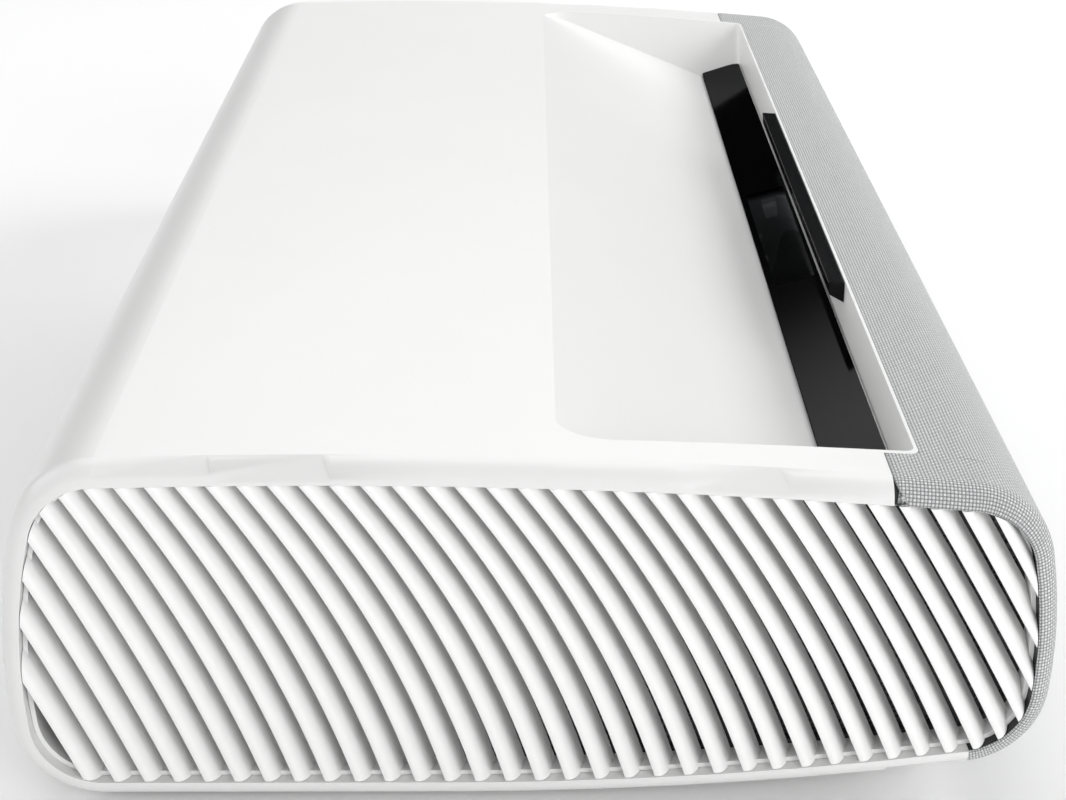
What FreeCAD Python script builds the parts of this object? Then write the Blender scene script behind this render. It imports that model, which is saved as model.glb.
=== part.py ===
"""Ultra-short-throw home projector: a long low white housing with louvred ends, a cloth-covered
speaker front, a sloping light channel in the top, and the optics, cooling and power parts inside.

Millimetres, +Z up. X runs along the length (intake end at -X, exhaust end at +X), the cloth front
faces -Y and the sockets face +Y. The origin is on the floor under the middle of the housing.
"""

import FreeCAD, Part
import math
import os

V = FreeCAD.Vector
X_AXIS = V(1, 0, 0)
Y_AXIS = V(0, 1, 0)
Z_AXIS = V(0, 0, 1)
ORIGIN = V(0, 0, 0)

# ---- overall size -----------------------------------------------------------------------------
LENGTH = 680.0
DEPTH = 347.0
HEIGHT = 128.0
FOOT_GAP = 3.4              # from the floor to the flat of the underside
HALF_LENGTH = LENGTH / 2
HALF_DEPTH = DEPTH / 2

# ---- cross-section of the housing, as (y, z) arcs rounded into each other ----------------------
TOP_RADIUS = 2350.0         # the top is a very shallow crown
TOP_APEX_Y = 70.0
BACK_RADIUS = 214.0
BACK_APEX_Z = FOOT_GAP + 46.0
FRONT_RADIUS = 186.0
FRONT_APEX_Z = FOOT_GAP + 54.0
KEEL_RADIUS = 1250.0        # the underside lifts towards the front from KEEL_Y on
KEEL_Y = 25.0
CORNER_RADIUS = 30.0
END_ROUND = 8.0             # roll-over of the housing into its two open ends

# ---- shells -----------------------------------------------------------------------------------
WALL = 2.6
CLOTH = 0.8
GAP = 0.25                  # assembly gap between neighbouring covers
RIM_INSET = 7.2             # from the outer surface to the edge of an end opening
RIM_DEPTH = 6.0
CAVITY_ROUND = 1.0          # inside corner behind an end rim
RING_SETBACK = 4.6          # from the end of the housing to the ring that carries the blades
CLOTH_TOP_Y = -116.0        # where the cloth starts on the top
CLOTH_BOTTOM_Y = -147.0     # and where it ends under the front
CLOTH_SPLIT_Z = 64.0

# ---- light channel ----------------------------------------------------------------------------
CREASE_Y = -9.0             # the flat top folds down into the slope here
SLOPE_FOOT = (-104.5, HEIGHT - 35.7)
PANE_FRONT = (-126.0, HEIGHT - 29.9)
CHANNEL_X0 = -HALF_LENGTH + 22.0
CHANNEL_X1 = HALF_LENGTH - 28.0
CHANNEL_TOP_Z = HEIGHT + 6.0
CHANNEL_LOW_Z = 80.0
END_DRAFT = math.radians(35.0)
BACK_CORNER = 20.0
FRONT_CORNER = 3.5
CHANNEL_WALL = 2.2
CHANNEL_LIP = 1.2           # wall of the channel where it meets the cloth
PANE_THICK = 2.0
PANE_LEDGE = 2.5

# ---- projection optics ------------------------------------------------------------------------
OPTIC_X = -20.0
OPTIC_Z = 50.0
CLEAR_HALF = 64.0           # half length of the clear part of the pane
SENSOR_X0 = -148.0
SENSOR_X1 = 107.0

# ---- louvres ----------------------------------------------------------------------------------
BLADES = 36
BLADE_DEPTH = 9.8
BLADE_MID_Z = FOOT_GAP + 62.0
BLADE_PROUD = 0.4           # from the end plane back to the blade noses

# ---- cooling ----------------------------------------------------------------------------------
FAN_SIZE = 70.0
FAN_THICK = 22.0
FAN_X = 298.0
FAN_Z = 52.5
FAN_YS = (-82.0, 2.0, 86.0)
FAN_BLADES = 7

# ---- feet and rear panel ----------------------------------------------------------------------
FOOT_X = 265.0
FRONT_FOOT_Y = -95.0
REAR_FOOT_Y = 122.0
STEM_RADIUS = 3.95
STEM_CLEARANCE = 0.05
TRAY_X0, TRAY_X1 = -150.0, 130.0
TRAY_Z0, TRAY_Z1 = 30.0, 78.0
TRAY_FLOOR_Y = 150.0
TRAY_WALL = 1.6
SOCKET_Z = 54.0
BUTTON_X = -84.0
BUTTON_RADIUS = 6.0
BOARD_Y = 133.0

# ---- focus gears ------------------------------------------------------------------------------
GEAR_MODULE = 1.0
RING_TEETH = 64
PINION_TEETH = 16
GEAR_FACE_Y = -6.0
GEAR_WIDTH = 8.0
PRESSURE_ANGLE = math.radians(20.0)
TOOTH_THINNING = 0.10       # taken off each tooth flank-to-flank, for backlash
BARREL_RADIUS = 26.0
RUNNING_CLEARANCE = 0.06


# ---- small helpers ----------------------------------------------------------------------------
def box(x0, x1, y0, y1, z0, z1):
    """A block between two corners."""
    return Part.makeBox(x1 - x0, y1 - y0, z1 - z0, V(x0, y0, z0))


def rod(radius, length, base, axis=Z_AXIS):
    return Part.makeCylinder(radius, length, base, axis)


def tube(outer, inner, length, base, axis=Z_AXIS):
    return rod(outer, length, base, axis).cut(rod(inner, length, base, axis))


def prism_x(points, x0, x1):
    """A polygon of (y, z) points, drawn out along X."""
    loop = [V(x0, y, z) for y, z in points]
    return Part.Face(Part.makePolygon(loop + loop[:1])).extrude(V(x1 - x0, 0, 0))


def round_edges(solid, radius, wanted):
    """Fillets the edges for which wanted(edge) is true."""
    return solid.makeFillet(radius, [e for e in solid.Edges if wanted(e)])


def rounded_box(x0, x1, y0, y1, z0, z1, radius, axis=Z_AXIS):
    """A block with its four edges along axis rounded."""

    def along_axis(edge):
        return abs(edge.tangentAt(edge.FirstParameter).dot(axis)) > 0.99

    return round_edges(box(x0, x1, y0, y1, z0, z1), radius, along_axis)


def all_of(shapes):
    return Part.makeCompound(shapes)


def join(shapes):
    return shapes[0].multiFuse(shapes[1:]).removeSplitter()


def underside_z(y):
    """Height of the underside over the floor, away from the rounded corners."""
    return FOOT_GAP + max(0.0, KEEL_Y - y) ** 2 / (2 * KEEL_RADIUS)


def mirror_ends(shape):
    """The same piece at the other end of the housing."""
    return shape.mirror(ORIGIN, X_AXIS)


# ---- housing cross-section --------------------------------------------------------------------
def crossing(centre_a, radius_a, centre_b, radius_b, near):
    """Where two circles cross, the crossing closest to near."""
    dy = centre_b[0] - centre_a[0]
    dz = centre_b[1] - centre_a[1]
    apart = math.hypot(dy, dz)
    along = (apart**2 + radius_a**2 - radius_b**2) / (2 * apart)
    aside = math.sqrt(radius_a**2 - along**2)
    foot = (centre_a[0] + along * dy / apart, centre_a[1] + along * dz / apart)
    found = [
        (foot[0] - sign * aside * dz / apart, foot[1] + sign * aside * dy / apart)
        for sign in (-1, 1)
    ]
    return min(found, key=lambda p: math.dist(p, near))


def arc_between(centre, radius, start, end, x):
    """The short arc of a circle in the plane at x, from start to end."""
    middle = ((start[0] + end[0]) / 2 - centre[0], (start[1] + end[1]) / 2 - centre[1])
    scale = radius / math.hypot(*middle)
    via = V(x, centre[0] + middle[0] * scale, centre[1] + middle[1] * scale)
    return Part.Arc(V(x, *start), via, V(x, *end)).toShape()


def outline_edges(inset, x):
    """The outer cross-section, drawn in by inset, in the plane at x, with its sharp corners."""
    top = (TOP_APEX_Y, HEIGHT - TOP_RADIUS)
    back = (HALF_DEPTH - BACK_RADIUS, BACK_APEX_Z)
    front = (FRONT_RADIUS - HALF_DEPTH, FRONT_APEX_Z)
    keel = (KEEL_Y, FOOT_GAP + KEEL_RADIUS)
    radii = (TOP_RADIUS, BACK_RADIUS, FRONT_RADIUS, KEEL_RADIUS)
    r_top, r_back, r_front, r_keel = (radius - inset for radius in radii)
    top_back = crossing(top, r_top, back, r_back, (HALF_DEPTH, HEIGHT))
    top_front = crossing(top, r_top, front, r_front, (-HALF_DEPTH, HEIGHT))
    low_front = crossing(keel, r_keel, front, r_front, (-HALF_DEPTH, FOOT_GAP))
    drop = BACK_APEX_Z - FOOT_GAP - inset
    low_back = (back[0] + math.sqrt(r_back**2 - drop**2), FOOT_GAP + inset)
    keel_start = (KEEL_Y, FOOT_GAP + inset)
    edges = [
        arc_between(top, r_top, top_back, top_front, x),
        arc_between(front, r_front, top_front, low_front, x),
        arc_between(keel, r_keel, low_front, keel_start, x),
        Part.LineSegment(V(x, *keel_start), V(x, *low_back)).toShape(),
        arc_between(back, r_back, low_back, top_back, x),
    ]
    return edges, [top_back, top_front, low_front, low_back]


def body(inset, x0, x1, end_round=0.0):
    """The housing's outline drawn in by inset, from x0 to x1, with both ends rolled over."""
    edges, corners = outline_edges(inset, x0)
    block = Part.Face(Part.Wire(edges)).extrude(V(x1 - x0, 0, 0))

    def at_a_corner(edge):
        middle = edge.CenterOfMass
        along = abs(edge.Vertexes[0].X - edge.Vertexes[-1].X) > 0.01
        return along and any(math.dist((middle.y, middle.z), c) < 0.01 for c in corners)

    def on_an_end(edge):
        ends = [v.X for v in edge.Vertexes]
        return max(ends) - min(ends) < 0.01

    block = round_edges(block, CORNER_RADIUS - inset, at_a_corner)
    return round_edges(block, end_round, on_an_end) if end_round else block


def front_zone(extra=0.0):
    """The part of the housing that the cloth front takes up."""
    far = 400.0
    top_y = CLOTH_TOP_Y + extra
    low_y = CLOTH_BOTTOM_Y + extra
    corners = [(top_y, far), (top_y, CLOTH_SPLIT_Z), (low_y, CLOTH_SPLIT_Z), (low_y, -far)]
    return prism_x(corners + [(-far, -far), (-far, far)], -far, far)


# ---- light channel ----------------------------------------------------------------------------
def plan_outline(x0, x1, front_y, back_y, z):
    """A rectangle seen from above, with larger corners at the back."""
    rf = FRONT_CORNER
    rb = BACK_CORNER
    diagonal = 1 - math.sqrt(0.5)

    def corner(start, via, end):
        return Part.Arc(V(*start, z), V(*via, z), V(*end, z)).toShape()

    def side(start, end):
        return Part.LineSegment(V(*start, z), V(*end, z)).toShape()

    f = rf * diagonal
    b = rb * diagonal
    return Part.Wire([
        side((x0 + rf, front_y), (x1 - rf, front_y)),
        corner((x1 - rf, front_y), (x1 - f, front_y + f), (x1, front_y + rf)),
        side((x1, front_y + rf), (x1, back_y - rb)),
        corner((x1, back_y - rb), (x1 - b, back_y - b), (x1 - rb, back_y)),
        side((x1 - rb, back_y), (x0 + rb, back_y)),
        corner((x0 + rb, back_y), (x0 + b, back_y - b), (x0, back_y - rb)),
        side((x0, back_y - rb), (x0, front_y + rf)),
        corner((x0, front_y + rf), (x0 + f, front_y + f), (x0 + rf, front_y)),
    ])


def channel(wall=0.0, lip=0.0):
    """The space above the slope and the pane. With a wall it is that much larger below and aside."""
    draft = (CHANNEL_TOP_Z - CHANNEL_LOW_Z) * math.tan(END_DRAFT)
    surface_draft = (CHANNEL_TOP_Z - HEIGHT) * math.tan(END_DRAFT)
    loops = []
    for z, inward in ((CHANNEL_LOW_Z, draft), (CHANNEL_TOP_Z, 0.0)):
        shift = inward - surface_draft
        x0 = CHANNEL_X0 + shift - wall
        x1 = CHANNEL_X1 - shift + wall
        loops.append(plan_outline(x0, x1, PANE_FRONT[0] - 0.6 - lip, CREASE_Y + 1 + wall, z))
    funnel = Part.makeLoft(loops, True, True)
    crease_z = HEIGHT - (TOP_APEX_Y - CREASE_Y) ** 2 / (2 * TOP_RADIUS)
    fall = (crease_z - SLOPE_FOOT[1]) / (CREASE_Y - SLOPE_FOOT[0])
    far_back = 60.0
    above = prism_x(
        [
            (far_back, crease_z + fall * (far_back - CREASE_Y) - wall),
            (SLOPE_FOOT[0], SLOPE_FOOT[1] - wall),
            (PANE_FRONT[0] - 6.0, PANE_FRONT[1] + 1.7 - wall),
            (PANE_FRONT[0] - 6.0, CHANNEL_TOP_Z),
            (far_back, CHANNEL_TOP_Z),
        ],
        -HALF_LENGTH,
        HALF_LENGTH,
    )
    return funnel.common(above)


def pane_direction():
    """Unit vectors up the pane (towards the front) and square to it (upwards)."""
    rise = V(0, PANE_FRONT[0] - SLOPE_FOOT[0], PANE_FRONT[1] - SLOPE_FOOT[1])
    rise.normalize()
    return rise, X_AXIS.cross(rise) * -1


def pane_slab(margin, top, bottom):
    """A slab in the pane's plane, from bottom to top above its face, grown by margin."""
    rise, up = pane_direction()
    width = math.dist(SLOPE_FOOT, PANE_FRONT) + 2 * margin
    foot_depth = HEIGHT - SLOPE_FOOT[1] - 6.0
    x0 = CHANNEL_X0 + foot_depth * math.tan(END_DRAFT) - margin
    x1 = CHANNEL_X1 - foot_depth * math.tan(END_DRAFT) + margin
    corner_round = 5.0
    slab = rounded_box(x0, x1, -margin, width - margin, bottom, top, corner_round)
    turn = FreeCAD.Rotation(X_AXIS, rise, up, "XYZ")
    slab.Placement = FreeCAD.Placement(V(0, *SLOPE_FOOT), turn)
    return slab


CHANNEL_VOID = channel()
CHANNEL_BLOCK = channel(CHANNEL_WALL, CHANNEL_LIP)
CHANNEL_CLEAR = channel(CHANNEL_WALL + GAP, CHANNEL_LIP + GAP)


# ---- covers -----------------------------------------------------------------------------------
OUTER = body(0, -HALF_LENGTH, HALF_LENGTH, END_ROUND)
CAVITY = body(WALL, -HALF_LENGTH + RIM_DEPTH, HALF_LENGTH - RIM_DEPTH, CAVITY_ROUND)
END_HOLES = body(RIM_INSET, -HALF_LENGTH - 1, HALF_LENGTH + 1)
BASE_HOLE = box(-318, 318, -132, 158, -20, 40)


def shell_skin(inset, thickness, x_clear):
    """The layer of the housing's wall between inset and inset + thickness."""
    reach = HALF_LENGTH - inset
    outside = body(inset, -reach, reach, END_ROUND - inset)
    round_left = END_ROUND - inset - thickness
    inside = body(inset + thickness, -reach + x_clear, reach - x_clear, round_left)
    return outside.cut(inside)


def post_foot_z(y):
    """Lowest height at which a screw post's foot clears the curved base plate."""
    return max(underside_z(y - 4.0), underside_z(y + 4.0)) + WALL + 0.6


def housing_shell():
    """One-piece white sleeve: top, back, end rims and the edge of the underside."""
    skin = OUTER.cut(CAVITY).cut(END_HOLES).cut(front_zone(GAP)).cut(BASE_HOLE)
    posts = [rod(4.0, 140.0, V(x, y, post_foot_z(y))) for x, y in base_screw_places()]
    pilots = [rod(1.5, 12.0, V(x, y, underside_z(y))) for x, y in base_screw_places()]
    posts = all_of(posts).common(body(1.0, -HALF_LENGTH, HALF_LENGTH)).cut(all_of(pilots))
    shell = skin.multiFuse([CHANNEL_BLOCK.common(OUTER)] + posts.Solids).cut(CHANNEL_VOID)
    shell = shell.cut(pane_slab(GAP, 4.0, -PANE_THICK))
    shell = shell.cut(pane_slab(-PANE_LEDGE, 4.0, -12.0))
    tray_hole = rounded_box(TRAY_X0, TRAY_X1, 155, 190, TRAY_Z0, TRAY_Z1, 6.0, Y_AXIS)
    lock_slot = rounded_box(196, 203, 155, 190, 49, 52.2, 1.2, Y_AXIS)
    return shell.cut(tray_hole).cut(lock_slot)


def supports():
    """Posts and rails that stand on the base plate under the inner assemblies."""
    shapes = []
    for x, y, radius, top in (
        (-300, 36, 3.0, 13.95), (-162, 36, 3.0, 13.95), (-300, 120, 3.0, 13.95), (-162, 120, 3.0, 13.95),
        (-91, 64, 3.0, 13.95), (43, 64, 3.0, 13.95), (-91, 122, 3.0, 13.95), (43, 122, 3.0, 13.95),
        (-300, -115, 4.0, 20.45), (-300, -75, 4.0, 20.45), (-165, -115, 4.0, 20.45), (-165, -75, 4.0, 20.45),
        (125, -115, 4.0, 20.45), (125, -75, 4.0, 20.45), (240, -75, 4.0, 20.45), (240, -115, 4.0, 20.45),
        (-80, -60, 4.0, 18.95), (40, -60, 4.0, 18.95), (-80, -115, 4.0, 18.95), (40, -115, 4.0, 18.95),
        (74, 70, 3.0, 17.95), (74, 116, 3.0, 17.95),
    ):
        shapes.append(rod(radius, top, V(x, y, 0)))
    for x in (-98.0, 8.0, 120.0):
        shapes.append(box(x - 3, x + 3, BOARD_Y - 2, BOARD_Y + 4, 0, 17.95))
    for x in (230.0, 276.0):
        shapes.append(box(x - 2, x + 2, 60, 129, 0, 17.95))
    shapes.append(box(FAN_X + 2, FAN_X + 18, -110, 114, 0, FAN_Z - FAN_SIZE / 2 - 0.05))
    for x in (-FOOT_X, FOOT_X):
        shapes.append(rod(9.0, 36.0, V(x, FRONT_FOOT_Y, 0)))
    return all_of(shapes).common(body(1.0, -HALF_LENGTH, HALF_LENGTH))


def base_plate():
    """Bottom cover, flush in the sleeve, with a flange inside and the posts that carry the rest."""
    hole = BASE_HOLE.BoundBox
    reach = HALF_LENGTH

    def zone(grow):
        return box(hole.XMin - grow, hole.XMax + grow, hole.YMin - grow, hole.YMax + grow, -20, 30)

    flange_top = body(WALL + 2.1, -reach, reach)
    plate = body(0, -reach, reach).cut(body(WALL, -reach, reach)).common(zone(-GAP))
    edge = body(0, -reach, reach).cut(flange_top).common(zone(-GAP).cut(zone(-5)))
    flange = body(WALL + 0.1, -reach, reach).cut(flange_top).common(zone(5).cut(zone(-5)))
    plate = plate.multiFuse([edge, flange] + supports().Solids)
    cuts = []
    for x in (-FOOT_X, FOOT_X):
        cuts.append(rod(STEM_RADIUS + STEM_CLEARANCE, 60.0, V(x, FRONT_FOOT_Y, 0.0)))
        cuts.append(rod(6.0, FOOT_GAP + 1.0, V(x, REAR_FOOT_Y, 0.0)))
    for k in range(14):
        x = -150.0 + 22.0 * k
        cuts.append(rounded_box(x, x + 4.0, 20.0, 96.0, -10, 12, 1.8))
    for x, y in base_screw_places():
        cuts.append(rod(1.7, 30.0, V(x, y, 0)))
        cuts.append(rod(3.2, underside_z(y) + 1.6, V(x, y, 0)))
    return plate.cut(all_of(cuts))


def base_screw_places():
    return [(-300.0, 144.0), (-165.0, 144.0), (145.0, 144.0), (300.0, 144.0), (-120.0, -70.0), (80.0, -70.0)]


def speaker_cloth():
    """Woven cover, stretched round the front and over the front parts of both end rims."""
    skin = shell_skin(0, CLOTH, CLOTH)
    return skin.common(front_zone()).cut(END_HOLES).cut(CHANNEL_CLEAR)


def woofer_places():
    return [(-245.0, 52.0), (205.0, 52.0)]


def tweeter_places():
    return [(-178.0, 52.0), (138.0, 52.0)]


def front_baffle():
    """Stiff moulding under the cloth, with slotted sound openings in front of the drivers."""
    inset = CLOTH + 0.1
    reach = HALF_LENGTH - inset
    outside = body(inset, -reach, reach, END_ROUND - inset)
    shell = outside.cut(CAVITY).cut(END_HOLES).common(front_zone()).cut(CHANNEL_CLEAR)
    slots = []
    for centre, z in woofer_places() + tweeter_places():
        half = 31.0 if (centre, z) in woofer_places() else 15.0
        count = int(2 * half / 7)
        for k in range(count):
            x = centre - half + 7.0 * (k + 0.5)
            height = math.sqrt(max(half**2 - (x - centre) ** 2, 16.0))
            slots.append(rounded_box(x - 2, x + 2, -190, -140, z - height, z + height, 1.8, Y_AXIS))
    return shell.cut(all_of(slots))


# ---- end louvres ------------------------------------------------------------------------------
def blade_lean(number, z):
    """Forward place of a blade's nose at a height. The blades bow, most of all in the middle."""
    middle = -173.6 + 10.64 * number - 0.0211 * number**2
    lean = -0.515 - 0.0003 * middle
    bow = -0.0022 + 6.9e-8 * (middle + 5) ** 2
    rise = z - BLADE_MID_Z
    return middle + lean * rise + bow * rise**2


def blade_section(forward, z):
    """Blade cut at height z: a blunt nose, a shoulder, and a flank that runs back into the end."""
    nose = -HALF_LENGTH + BLADE_PROUD

    def at(across, depth):
        return V(nose + depth, -(forward + across), z)

    face = Part.BSplineCurve()
    face.interpolate([at(0.45, 0), at(2.5, 0.15), at(4.3, 1.9), at(5.9, 5.4), at(7.6, BLADE_DEPTH)])
    corner = Part.Arc(at(0, 0.5), at(0.13, 0.13), at(0.45, 0))
    return Part.Wire([
        face.toShape(),
        Part.LineSegment(at(7.6, BLADE_DEPTH), at(5.9, BLADE_DEPTH)).toShape(),
        Part.LineSegment(at(5.9, BLADE_DEPTH), at(0, 1.5)).toShape(),
        Part.LineSegment(at(0, 1.5), at(0, 0.5)).toShape(),
        corner.toShape(),
    ])


def louvre_blades():
    """All blades, trimmed where they run into the ring."""
    trim = body(RIM_INSET + 0.3, -HALF_LENGTH - 1, -HALF_LENGTH + 40)
    blades = []
    for number in range(BLADES):
        levels = (0.0, BLADE_MID_Z, HEIGHT + 4.0)
        loops = [blade_section(blade_lean(number, z), z) for z in levels]
        blade = Part.makeLoft(loops, True, False).common(trim)
        blades += [s for s in blade.Solids if s.Volume > 1.0]
    return blades


def grille():
    """Intake-end grille: a ring that clips behind the rim, with the bowed blades across it."""
    x0 = -HALF_LENGTH
    ring = body(RIM_INSET + 0.2, x0 + RING_SETBACK, x0 + 13.0)
    flange = body(WALL + 0.9, x0 + RIM_DEPTH + 0.2, x0 + RIM_DEPTH + 2.2)
    ring = ring.fuse(flange).cut(body(RIM_INSET + 1.8, x0 - 1, x0 + 60))
    return ring.multiFuse(louvre_blades())


def guard():
    """Dark safety grid behind a grille, with slanted ribs and a rim that carries it."""
    x0 = -HALF_LENGTH + 13.4
    rim = body(WALL + 2.6, x0, x0 + 3.0)
    hole = body(WALL + 8.0, x0 - 1, x0 + 4.0)
    reach = body(WALL + 6.0, x0 - 1, x0 + 4.0)
    ribs = []
    spread = 24.0
    for k in range(-11, 12):
        foot = k * spread / 1.5
        corners = [(foot - 30, 0), (foot - 27.6, 0), (foot + 32.4, 130), (foot + 30, 130)]
        ribs.append(prism_x(corners, x0 + 0.2, x0 + 2.8))
    return rim.cut(hole).multiFuse(all_of(ribs).common(reach).Solids)


def intake_filter():
    """Foam dust filter behind the intake guard."""
    x0 = -HALF_LENGTH + 16.6
    return body(WALL + 2.6, x0, x0 + 6.0).cut(CHANNEL_CLEAR)


# ---- pane, mask and presence sensors ----------------------------------------------------------
def pane_glass():
    return pane_slab(0.0, 0.0, -PANE_THICK + 0.3)


def pane_mask():
    """Black print under the glass, open only over the clear part."""
    mask = pane_slab(0.0, -PANE_THICK + 0.28, -PANE_THICK + 0.03)
    opening = box(OPTIC_X - CLEAR_HALF, OPTIC_X + CLEAR_HALF, -124.2, -106.5, 60, 120)
    return mask.cut(opening)


def sensor_bar():
    """Black ledge on the channel's front wall that houses the presence sensors."""
    wall_y = PANE_FRONT[0] - 0.6
    top_z = HEIGHT - 9.0
    section = [
        (wall_y, top_z - 8.4),
        (wall_y, top_z),
        (wall_y + 6.6, top_z + 0.4),
        (wall_y + 6.0, top_z - 5.0),
    ]
    bar = prism_x(section, SENSOR_X0, SENSOR_X1)
    return round_edges(bar, 0.35, lambda e: e.Length > 100 and e.CenterOfMass.y > wall_y + 1)


# ---- projection optics ------------------------------------------------------------------------
def optic_point(y, dx=0.0, dz=0.0):
    return V(OPTIC_X + dx, y, OPTIC_Z + dz)


def back_rod(radius, y_from, y_to, dx=0.0, dz=0.0):
    """A rod along the lens axis, or beside it, between two y places."""
    return rod(radius, abs(y_from - y_to), optic_point(min(y_from, y_to), dx, dz), Y_AXIS)


def lens_barrel():
    outside = back_rod(30.0, 57.9, GEAR_FACE_Y + 0.2).fuse(back_rod(BARREL_RADIUS, 0.0, -54.0))
    bores = [(24.0, 58.0, 20.0), (19.0, 21.0, -29.0), (23.0, -28.0, -56.0)]
    return outside.removeSplitter().cut(join([back_rod(*b) for b in bores]))


def lens_element(radius, y, thick, bulge):
    """A glass element with a domed front."""
    disc = back_rod(radius, y, y + thick)
    sphere_radius = (radius**2 + bulge**2) / (2 * bulge)
    ball = Part.makeSphere(sphere_radius, optic_point(y + sphere_radius - bulge))
    dome = ball.common(back_rod(radius, y, y - bulge - 1))
    return disc.fuse(dome).removeSplitter()


def lens_elements():
    return all_of([
        lens_element(22.95, -44.0, 8.0, 6.0),
        lens_element(18.95, -12.0, 6.0, 3.0),
        lens_element(18.95, 8.0, 6.0, 4.0),
        lens_element(23.95, 36.0, 8.0, 5.0),
    ])


def involute_point(base_radius, radius):
    """Angle by which an involute has turned when it reaches radius."""
    ratio = min(1.0, base_radius / radius)
    pressure = math.acos(ratio)
    return math.tan(pressure) - pressure


def gear_outline(teeth, y, centre, turn):
    """Closed outline of a spur gear in the plane at y, one tooth centred at the angle turn."""
    pitch = GEAR_MODULE * teeth / 2
    base = pitch * math.cos(PRESSURE_ANGLE)
    tip = pitch + 0.94 * GEAR_MODULE
    root = pitch - 1.2 * GEAR_MODULE
    half_pitch_angle = (math.pi * GEAR_MODULE / 2 - TOOTH_THINNING) / (2 * pitch)
    half_at_base = half_pitch_angle + involute_point(base, pitch)
    start = max(base, root)
    radii = [start + (tip - start) * k / 5 for k in range(6)]

    def at(radius, angle):
        return V(centre[0] + radius * math.cos(angle), y, centre[1] + radius * math.sin(angle))

    edges = []
    step = 2 * math.pi / teeth
    for tooth in range(teeth):
        middle = turn + tooth * step
        rising = [at(r, middle - half_at_base + involute_point(base, r)) for r in radii]
        falling = [at(r, middle + half_at_base - involute_point(base, r)) for r in reversed(radii)]
        next_start = at(start, middle + step - half_at_base + involute_point(base, start))
        root_left = at(root, middle - half_at_base)
        root_right = at(root, middle + half_at_base)
        next_root = at(root, middle + step - half_at_base)
        if root < base:
            edges.append(Part.LineSegment(root_left, rising[0]).toShape())
        curve = Part.BSplineCurve()
        curve.interpolate(rising)
        edges.append(curve.toShape())
        edges.append(Part.Arc(rising[-1], at(tip, middle), falling[0]).toShape())
        curve = Part.BSplineCurve()
        curve.interpolate(falling)
        edges.append(curve.toShape())
        floor_middle = at(root if root < base else start, middle + step / 2)
        if root < base:
            edges.append(Part.LineSegment(falling[-1], root_right).toShape())
            edges.append(Part.Arc(root_right, floor_middle, next_root).toShape())
        else:
            edges.append(Part.Arc(falling[-1], floor_middle, next_start).toShape())
    return Part.Wire(Part.sortEdges(edges)[0])


def spur_gear(teeth, centre, turn):
    face = Part.Face(gear_outline(teeth, GEAR_FACE_Y - GEAR_WIDTH, centre, turn))
    return face.extrude(V(0, GEAR_WIDTH, 0))


PINION_REACH = GEAR_MODULE * (RING_TEETH + PINION_TEETH) / 2


def focus_ring():
    """Toothed ring that turns on the barrel to focus."""
    gear = spur_gear(RING_TEETH, (OPTIC_X, OPTIC_Z), 0.0)
    return gear.cut(back_rod(BARREL_RADIUS + RUNNING_CLEARANCE, 20.0, -40.0))


def focus_pinion():
    """Motor pinion, with a tooth gap facing the ring's tooth, and its shaft."""
    gap_turn = math.pi + math.pi / PINION_TEETH
    gear = spur_gear(PINION_TEETH, (OPTIC_X + PINION_REACH, OPTIC_Z), gap_turn)
    shaft = back_rod(1.5, GEAR_FACE_Y - GEAR_WIDTH - 2.0, GEAR_FACE_Y + 4.5, PINION_REACH)
    return gear.fuse(shaft).removeSplitter()


def focus_motor():
    can = back_rod(8.0, GEAR_FACE_Y + 3.0, GEAR_FACE_Y + 27.0, PINION_REACH)
    return can.cut(back_rod(1.5 + RUNNING_CLEARANCE, GEAR_FACE_Y, GEAR_FACE_Y + 6.0, PINION_REACH))


def ring_clip():
    """Snap ring that keeps the toothed ring against the shoulder of the barrel."""
    y = GEAR_FACE_Y - GEAR_WIDTH - 0.3
    clip = back_rod(28.6, y, y - 1.4).cut(back_rod(BARREL_RADIUS + 0.02, y + 1, y - 3))
    return clip.cut(box(OPTIC_X - 3, OPTIC_X + 3, y - 2, y + 1, OPTIC_Z, OPTIC_Z + 40))


def focus_bracket():
    """Clamp round the barrel with an arm behind the motor."""
    y = GEAR_FACE_Y + 27.2
    arm = box(OPTIC_X + 28, OPTIC_X + PINION_REACH + 10, y, y + 2.6, OPTIC_Z - 10, OPTIC_Z + 10)
    clamp = back_rod(34.0, y, y + 2.6).fuse(arm).removeSplitter()
    return clamp.cut(back_rod(30.05, 0.0, 60.0))


MIRROR_CENTRE = V(OPTIC_X, -42.0, 80.0)
MIRROR_RADIUS = 100.0
MIRROR_THICK = 3.0


def mirror_zone(grow=0.0):
    x0 = OPTIC_X - 58.0 - grow
    return rounded_box(x0, x0 + 116.0 + 2 * grow, -160, -100, 22 - grow, 82 + grow, 10.0, Y_AXIS)


def concave_mirror():
    """Dished mirror that throws the picture up and back through the clear part of the pane."""
    back = Part.makeSphere(MIRROR_RADIUS + MIRROR_THICK, MIRROR_CENTRE)
    front = Part.makeSphere(MIRROR_RADIUS, MIRROR_CENTRE)
    return back.cut(front).common(mirror_zone())


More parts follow.
